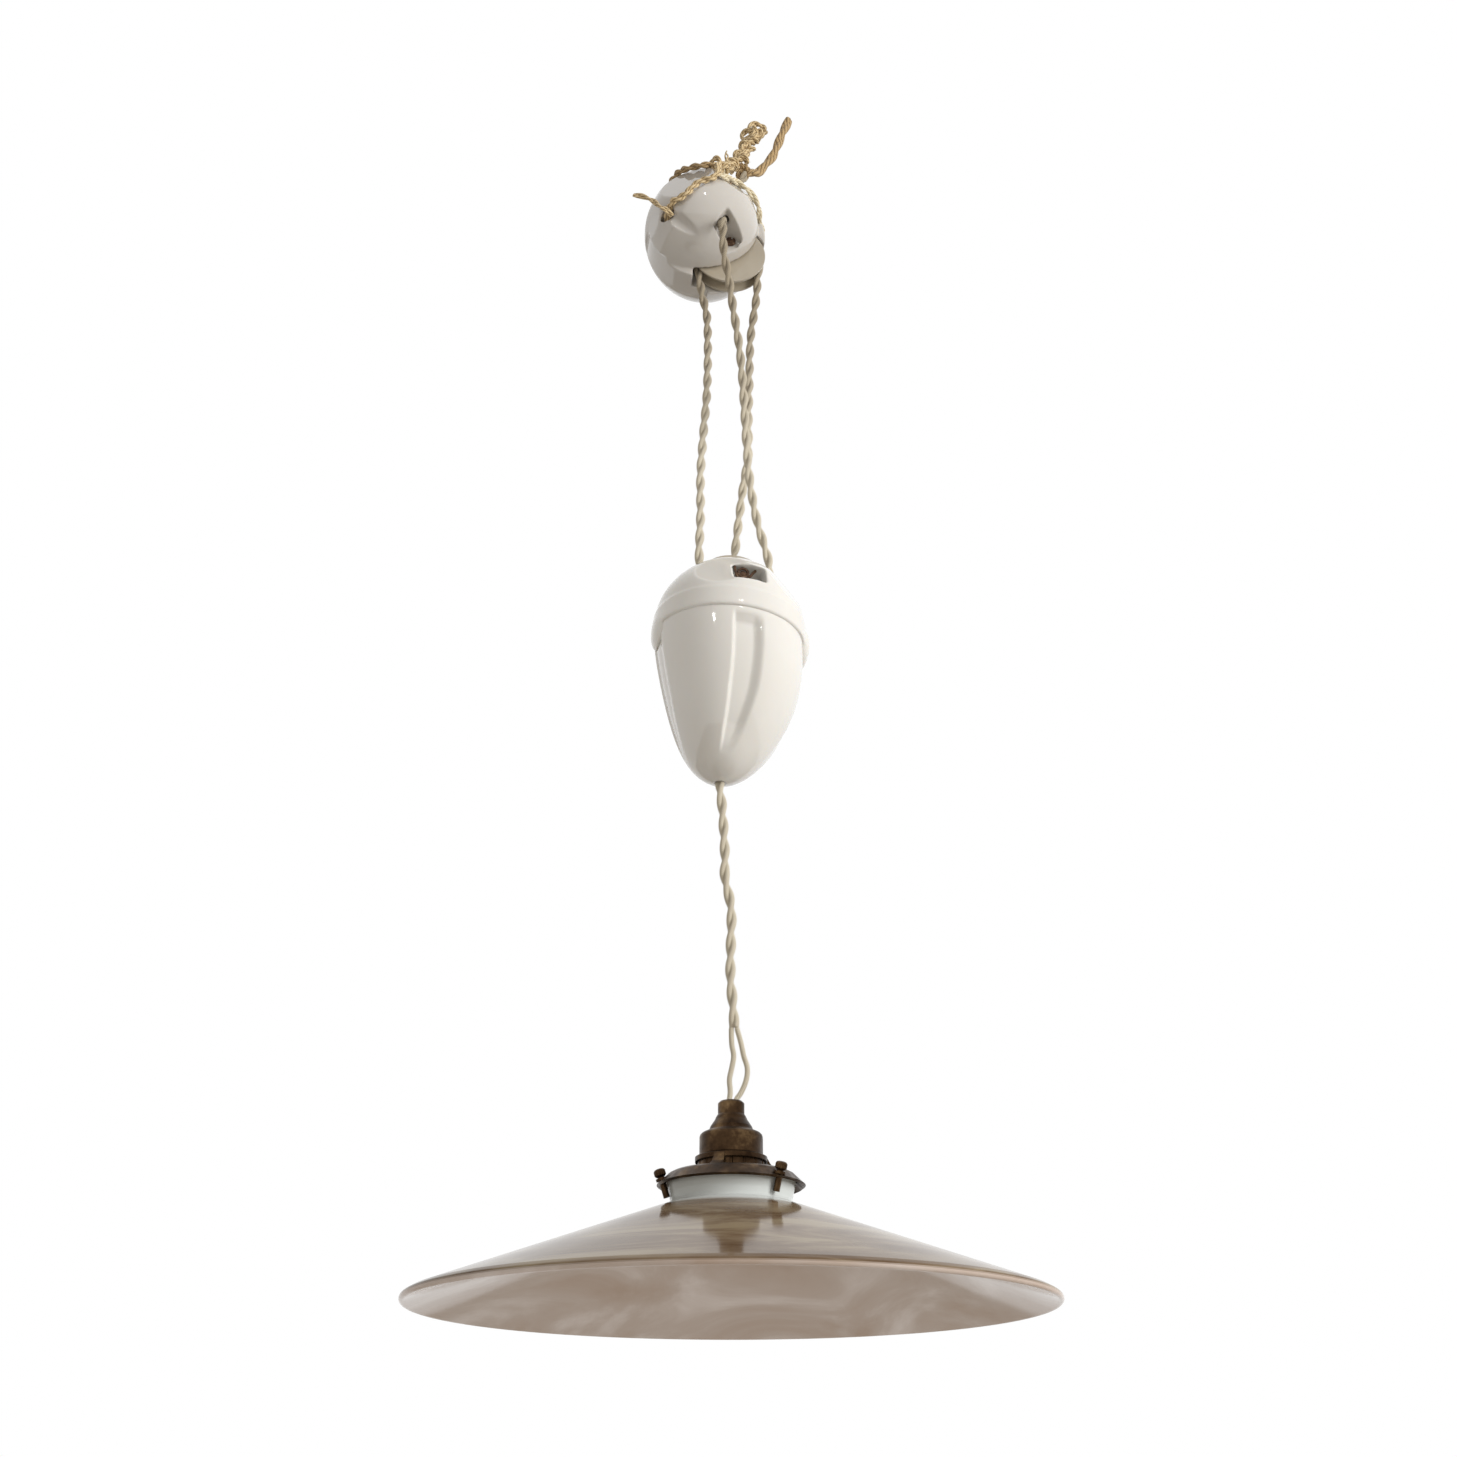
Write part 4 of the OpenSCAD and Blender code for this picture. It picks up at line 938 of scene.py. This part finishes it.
# The loops at the top of the chain: middle, radius, and how far each leans back, in radians
LOOPS = [((0, -0.3, -6.7), 5.1, 0.25), ((-6, -1.2, -11.6), 3.6, -0.5)]
TAIL = (place([(-36, -30.5, 0.6), (-40, -33.5, 2.2), (-43, -33, 4.5)], BLOCK_FRAME)
        + place([(-63, -35, -103), (-68.5, -34, -99), (-74, -33, -96.8)]))
SUPPLY = place([(-4.4, -7.2, -51.4), (0, -4.6, -48.6), (5, -4, -41.3), (10, -4, -32.7),
                (13.5, -4, -21.4), (17, -4, -10.9), (20, -4, -2.5)])
SUPPLY_KNOT = place([(-8.4, -10, -53.7)])[0]


def finish_rope(tubes, name, made, node_name=None):
    obj = tubes.build(name)
    paint(obj, made)
    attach(obj, "root")
    if node_name:
        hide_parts(node_name)
    return obj


sling_line = smooth(FRONT_LEG, 0.9 * MM)
tubes = Tubes()
add_rope(tubes, sling_line, TWINE_R, 12 * MM)
add_fibres(tubes, sling_line, 3.0 * MM, 22, 4)
finish_rope(tubes, "sling_twine", hemp, "twine_sling")

back_line = smooth(BACK_LEG, 0.9 * MM)
tubes = Tubes()
add_rope(tubes, back_line, TWINE_R, 16 * MM)
finish_rope(tubes, "sling_back", worn)

wrap_line = smooth(WRAP, 0.9 * MM)
tubes = Tubes()
add_rope(tubes, wrap_line, 2.0 * MM, 26 * MM, 0.5)
add_fibres(tubes, wrap_line, 3.0 * MM, 40, 9)
finish_rope(tubes, "wrap_twine", pale_hemp, "twine_wrap")

chain_line = smooth(CHAIN, 0.6 * MM)
tubes = Tubes()
for phase in (0, 2.1):
    side = laid(chain_line, 1.8 * MM, 17 * MM, phase, Vector((1, 0, 0)))
    add_rope(tubes, side, 1.9 * MM, 14 * MM, phase)
for k, (centre, size) in enumerate(zip(CHAIN, CHAIN_SIZES)):
    line = knot_line(centre, size * MM, 1.1 * k + 0.3, 0.9 * math.sin(2.3 * k))
    add_rope(tubes, line, 1.75 * MM, 15 * MM, k)
    add_fibres(tubes, line, 2.2 * MM, 9, 20 + k)
add_rope(tubes, smooth(SPIKE, 0.6 * MM), 1.8 * MM, 12 * MM, 0.0, Vector((0, 1, 0)), taper=0.6)
for centre, radius, tilt in LOOPS:
    loop = [Vector(centre) * MM
            + Vector((math.cos(a), math.sin(tilt) * math.cos(a), math.sin(a))) * radius * MM
            for a in [2 * math.pi * i / 24 for i in range(25)]]
    add_rope(tubes, smooth(loop, 0.6 * MM), 1.85 * MM, 14 * MM)
finish_rope(tubes, "knots_and_loop", hemp, "twine_knots")

tail_line = smooth(TAIL, 0.8 * MM)
tubes = Tubes()
add_rope(tubes, tail_line, 1.65 * MM, 24 * MM, 0.0, Vector((0, 1, 0)))
tail = finish_rope(tubes, "tail_twine", hemp, "twine_tail")

supply_line = smooth(SUPPLY, 0.9 * MM)
tubes = Tubes()
for k in range(2):
    line = laid(supply_line, 0.95 * MM, 30 * MM, 0.3 + math.pi * k, Vector((0, 1, 0)))
    tubes.add(line, 1.95 * MM, 14)
supply = finish_rope(tubes, "old_supply_flex", worn, "supply_flex")

tubes = Tubes()
add_rope(tubes, knot_line(SUPPLY_KNOT, 4.4 * MM, 0.8, 0.6), 1.9 * MM, 12 * MM)
finish_rope(tubes, "old_supply_knot", worn, "supply_knot")


# ---- Camera, light and background ------------------------------------------------

CAMERA_AT = Vector((-18.2, -696, -783.9)) * MM
CAMERA_PITCH = math.radians(26.8)
PHOTO_SIZE = 1457
FOCAL_PX = 1530
SENSOR = 36

camera_data = bpy.data.cameras.new("camera")
camera_data.sensor_width = SENSOR
camera_data.lens = FOCAL_PX / PHOTO_SIZE * SENSOR
camera = bpy.data.objects.new("camera", camera_data)
camera.location = CAMERA_AT
camera.rotation_euler = (math.pi / 2 + CAMERA_PITCH, 0, 0)
bpy.context.scene.collection.objects.link(camera)
bpy.context.scene.camera = camera


def area_light(name, at, towards, size, power, colour=(1, 1, 1), glossy=False):
    """A soft lamp. Only a glossy one is seen in reflections."""
    data = bpy.data.lights.new(name, "AREA")
    data.shape = "RECTANGLE"
    data.size, data.size_y = size
    data.energy = power
    data.color = colour
    light = bpy.data.objects.new(name, data)
    light.location = at
    light.rotation_euler = (Vector(towards) - Vector(at)).to_track_quat("-Z", "Y").to_euler()
    light.visible_glossy = glossy
    bpy.context.scene.collection.objects.link(light)


MIDDLE = (0, 0, -0.4)
area_light("window", (1.7, -0.9, 0.0), MIDDLE, (0.9, 1.4), 33, (1.0, 0.98, 0.95))
area_light("fill", (-1.6, -1.3, -0.5), MIDDLE, (1.4, 1.4), 3, (1.0, 0.92, 0.82))
area_light("top", (0.3, 0.4, 1.5), MIDDLE, (1.5, 1.5), 10)
area_light("glint_left", (-0.5, -1.2, 0.1), MIDDLE, (0.06, 0.08), 0.7, glossy=True)
area_light("glint_right", (0.35, -1.1, 0.2), MIDDLE, (0.05, 0.07), 0.6, glossy=True)

FLOOR_Z = -1.7
FLOOR_HALF = 3
floor = add_mesh("floor", [(x * FLOOR_HALF, y * FLOOR_HALF, FLOOR_Z)
                           for x, y in ((-1, -1), (1, -1), (1, 1), (-1, 1))],
                 [(0, 1, 2, 3)], smooth_faces=False)
paint(floor, material("pale_floor", (0.80, 0.79, 0.77), 0.9)[0])

# The room lights the piece; the camera, reflections and what is seen through glass get plain white
ROOM_COLOUR = (0.60, 0.55, 0.49, 1)
ROOM_LIGHT = 0.55

world = bpy.data.worlds.new("room")
bpy.context.scene.world = world
world.use_nodes = True
tree = world.node_tree
white = tree.nodes["Background"]
white.inputs["Color"].default_value = (1, 1, 1, 1)
white.inputs["Strength"].default_value = 1
room = node(tree, "ShaderNodeBackground", Color=ROOM_COLOUR, Strength=ROOM_LIGHT)
rays = node(tree, "ShaderNodeLightPath").outputs
shown = rays["Is Camera Ray"]
for name in ("Is Glossy Ray", "Is Transmission Ray"):
    shown = arithmetic(tree, "MAXIMUM", shown, rays[name])
mix = node(tree, "ShaderNodeMixShader", Fac=shown)
tree.links.new(room.outputs["Background"], mix.inputs[1])
tree.links.new(white.outputs["Background"], mix.inputs[2])
tree.links.new(mix.outputs["Shader"], tree.nodes["World Output"].inputs["Surface"])

bpy.context.scene.view_settings.view_transform = "Standard"
